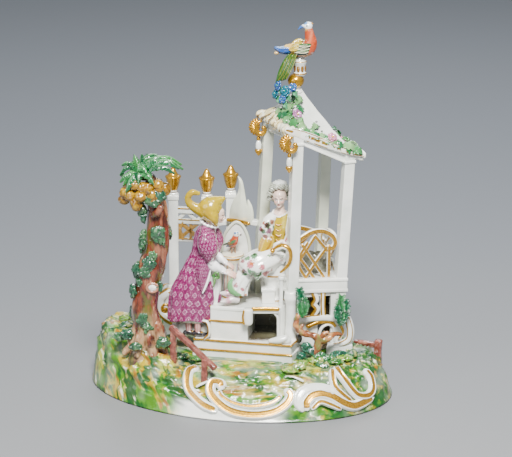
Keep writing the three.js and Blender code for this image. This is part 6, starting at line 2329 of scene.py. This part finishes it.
def hair():
    """Powdered hair dressed high in soft rolls, with curls at the nape and a small cap on top."""
    curls = ((29.6, -1.4, 203, 3.6), (28.8, 0.8, 197.4, 3.0), (31.4, 4.4, 199.4, 3.8),
             (31.6, -3, 208, 3.6), (35.6, -4.6, 210.6, 3.6), (41, -4.8, 210.8, 3.6),
             (46, -2.4, 209, 3.6), (48.8, 1.2, 203.6, 3.4), (47, 3.4, 197, 3.2),
             (38, 9.2, 199.6, 4.4), (43.4, 8.6, 196.6, 3.8), (33.6, 8.8, 195.2, 3.8),
             (40.6, 8.6, 192.6, 3.2), (36, 8.6, 190.6, 2.8))
    shape = fuse([ball((38.4, 4.8, 206.4), (10.2, 8.8, 7.6), 36),
                  *(ball((x, y, z), (r, r, r * 0.92), 22) for x, y, z, r in curls),
                  ball((39.4, 3, 211.6), (7.6, 7.6, 4.0), 28)], voxel=0.5, rounds=2)
    waves = np.sin(shape.points @ np.array([1.5, 0.9, 2.4]) + 2.2 * noise_at(shape.points, 5, 220))
    shape.push(0.3 * waves)
    # Darker in the troughs between the waves: painted shade.
    shape.colour((0.4, 0.42, 0.34)).colour((0.14, 0.15, 0.11), 0.7 * step(-waves, 0.2, 0.9))
    return dab(shape, (39.4, 3, 214.4), (8.6, 8.6, 4.2), (0.7, 0.72, 0.68), 0.2)


def seated_shoes():
    parts = []
    for start, toe in (((-4, -22, 104), (-20, -25, 106.4)), ((-3, -25, 99.4), (-19, -28, 98.2))):
        start, toe = np.array(start, float), np.array(toe, float)
        shoe = sweep([start, start * 0.66 + toe * 0.34 + (0, 0, 1.2), start * 0.3 + toe * 0.7, toe],
                     [(3.2, 3.2), (3.8, 3.4), (3.5, 2.7), (1.3, 1.1)], 26, 40)
        shoe.colour((0.72, 0.66, 0.64)).colour((0.5, 0.2, 0.27), 0.8 * bump(shoe.along, 0.55, 0.14))
        bow = ball(start * 0.45 + toe * 0.55 + (0, 0, 3),
                   (1.9, 1.9, 1.1), 16).colour((0.42, 0.1, 0.17))
        parts += [shoe, bow]
    return parts


def chair():
    """The seat under the figure and the gilt scroll of its arm, white outside."""
    seat = lathe([(12.4, 93), (12.8, 96), (10.6, 100), (10.2, 112), (12.6, 118), (13.8, 121),
                  (13.6, 130), (12.4, 132.4)], (33.4, -4), 56)
    seat.gild(bump(seat.points[:, 2], 120.6, 0.9) + bump(seat.points[:, 2], 95, 0.8))
    path = [(32, -24, 151), (36.6, -27.4, 155.4), (42.4, -30.6, 158), (48.2, -32.4, 155),
            (50, -32.6, 147.6), (48.4, -32, 140), (44.4, -30.6, 134), (40, -28.6, 129.4)]
    arm = sweep(path, [(1.2, 1.8), (1.5, 2.0), (1.7, 2.2), (1.8, 2.2), (1.8, 2.2), (1.7, 2.2),
                       (1.6, 2.0), (1.2, 1.6)], 24, 100, FRONT)
    eye = ball((32, -24, 150.4), (2.6, 3, 2.6), 18)
    pad = sweep([(36, -14, 148.6), (42, -13.4, 151), (46.6, -13, 147.6), (46, -13, 141),
                 (42, -13, 135)], [(1.5, 4), (2, 5), (2, 5), (2, 5), (1.5, 4)], 20, 50, FRONT)
    back = upright_panel((50, 2), (44, 14),
                         [(0, 120), (-1, 150), (2, 162), (8, 166), (13, 160), (14, 148),
                          (13.4, 120)], 3.4, 1.2)
    return [seat, pad], [arm, eye], [back]


CHINTZ = chintz()
BROCADE = brocade()
over, under = seated_skirt()
chair_white, chair_gold, chair_back = chair()
build("coat", BROCADE, coat(), coat_sleeves())
build("coat_whites", ENAMEL, coat_whites())
build("cap", ENAMEL, cap_hat())
build("standing_head", ENAMEL, head((-22.8, -12.5, 184.4), STANDING_TURN, 8.6),
      sweep([(-31, -12, 172), (-28, -12, 176), (-25.4, -12.4, 181)],
            [4.6, 3.8, 3.8], 24, 20).colour(SKIN_TONE))
build("standing_hands", ENAMEL,
      arm_hand((-15.6, -22, 127.8), (0.95, -0.1, -0.28), (0.1, 0.6, -0.8), 1.45),
      arm_hand((-14, -12, 133.6), (0.9, -0.2, -0.5), (0.1, 0.3, -0.9), 1.1))
build("standing_trim", ENAMEL, standing_trim(), legs_and_shoes())
build("seated_skirt", CHINTZ, over, under, seated_sleeves())
build("seated_lining", ENAMEL, seated_lining(), seated_shoes())
build("seated_bodice", ENAMEL, seated_bodice(),
      ruffled_cuff((26.8, -11, 159.4), 4.2, (0.88, 0.7, 0.72)),
      ruffled_cuff((46, -11.4, 155.2), 3.8, (0.88, 0.74, 0.74)))
build("seated_head", ENAMEL, head((38.9, -2.6, 198.8), SEATED_TURN, 9.6),
      sweep([(40, -0.8, 184), (40, -0.8, 188), (39.8, -1.2, 192.6)],
            [4.0, 3.4, 3.5], 24, 16).colour(SKIN_TONE))
build("seated_hair", ENAMEL, hair())
build("seated_hands", ENAMEL, arm_hand((26.8, -11.6, 159), (0.3, -0.3, -0.9), (-0.5, 0.6, 0), 0.9),
      arm_hand((45, -12, 155), (-0.6, -0.5, -0.6), (-0.2, 0.4, -0.8), 0.9))
build("chair", WHITE_GLAZE, chair_white)
build("chair_back", WHITE_GLAZE, chair_back, hard=True)
build("chair_arm", GILDED, chair_gold)


# Stage

FLOOR_SIZE = 16
STUDIO_GREY, STUDIO_STRENGTH = (0.5, 0.53, 0.56, 1), 0.62
VIEW_TILT, VIEW_DISTANCE, VIEW_TARGET = math.radians(17), 2200, (0.0155, 0, 0.166)
PHOTO_WIDTH = 512  # pixels, each of them a millimetre wide at the target
SENSOR_WIDTH = 36


def floor():
    """A plain floor, paler towards the viewer as painted light, and the soft grey studio round it.
    """
    p = Paint("studio_floor", roughness=0.55, coat=0.0)
    # Paler and less blue towards the viewer: a painted fall-off of light.
    near = p.ease(p.node("SeparateXYZ", Vector=p.place()).outputs["Y"], 0.9, -0.45)
    p.finish(p.mix(near, (0.17, 0.186, 0.21), (0.19, 0.195, 0.2)))
    bpy.ops.mesh.primitive_plane_add(size=FLOOR_SIZE)
    plane = bpy.context.object
    plane.name = "studio_floor"
    plane.data.materials.append(p.material)
    world = bpy.data.worlds.new("studio")
    bpy.context.scene.world = world
    world.use_nodes = True
    background = world.node_tree.nodes["Background"].inputs
    background["Color"].default_value = STUDIO_GREY
    background["Strength"].default_value = STUDIO_STRENGTH


def lamp(name, place, aim, size, power, colour):
    """A rectangular lamp, turned to the place that it is aimed at."""
    data = bpy.data.lights.new(name, "AREA")
    data.shape = "RECTANGLE"
    data.size, data.size_y = size
    data.energy = power
    data.color = colour
    light = bpy.data.objects.new(name, data)
    light.location = place
    light.rotation_euler = (Vector(aim) - Vector(place)).to_track_quat("-Z", "Y").to_euler()
    bpy.context.scene.collection.objects.link(light)


def camera():
    """The photograph's view: straight on, looking down by 17 degrees from 2.2 metres."""
    data = bpy.data.cameras.new("photo_view")
    data.sensor_width = SENSOR_WIDTH
    data.lens = SENSOR_WIDTH * VIEW_DISTANCE / PHOTO_WIDTH
    data.clip_end = 50
    eye = bpy.data.objects.new("photo_view", data)
    away = Vector((0, -math.cos(VIEW_TILT), math.sin(VIEW_TILT)))
    eye.location = Vector(VIEW_TARGET) + away * VIEW_DISTANCE * MM
    eye.rotation_euler = (math.pi / 2 - VIEW_TILT, 0, 0)
    bpy.context.scene.collection.objects.link(eye)
    bpy.context.scene.camera = eye


floor()
lamp("key", (0.1, -1.2, 1.7), (0, 0, 0.17), (0.6, 0.5), 135, (1, 0.985, 0.96))
lamp("fill", (-1.3, -1.0, 1.0), (0, 0, 0.17), (0.8, 1.0), 9, (0.92, 0.96, 1))
lamp("rim", (0.3, 1.5, 1.4), (0, 0, 0.2), (1.2, 0.6), 18, (0.95, 0.97, 1))
camera()
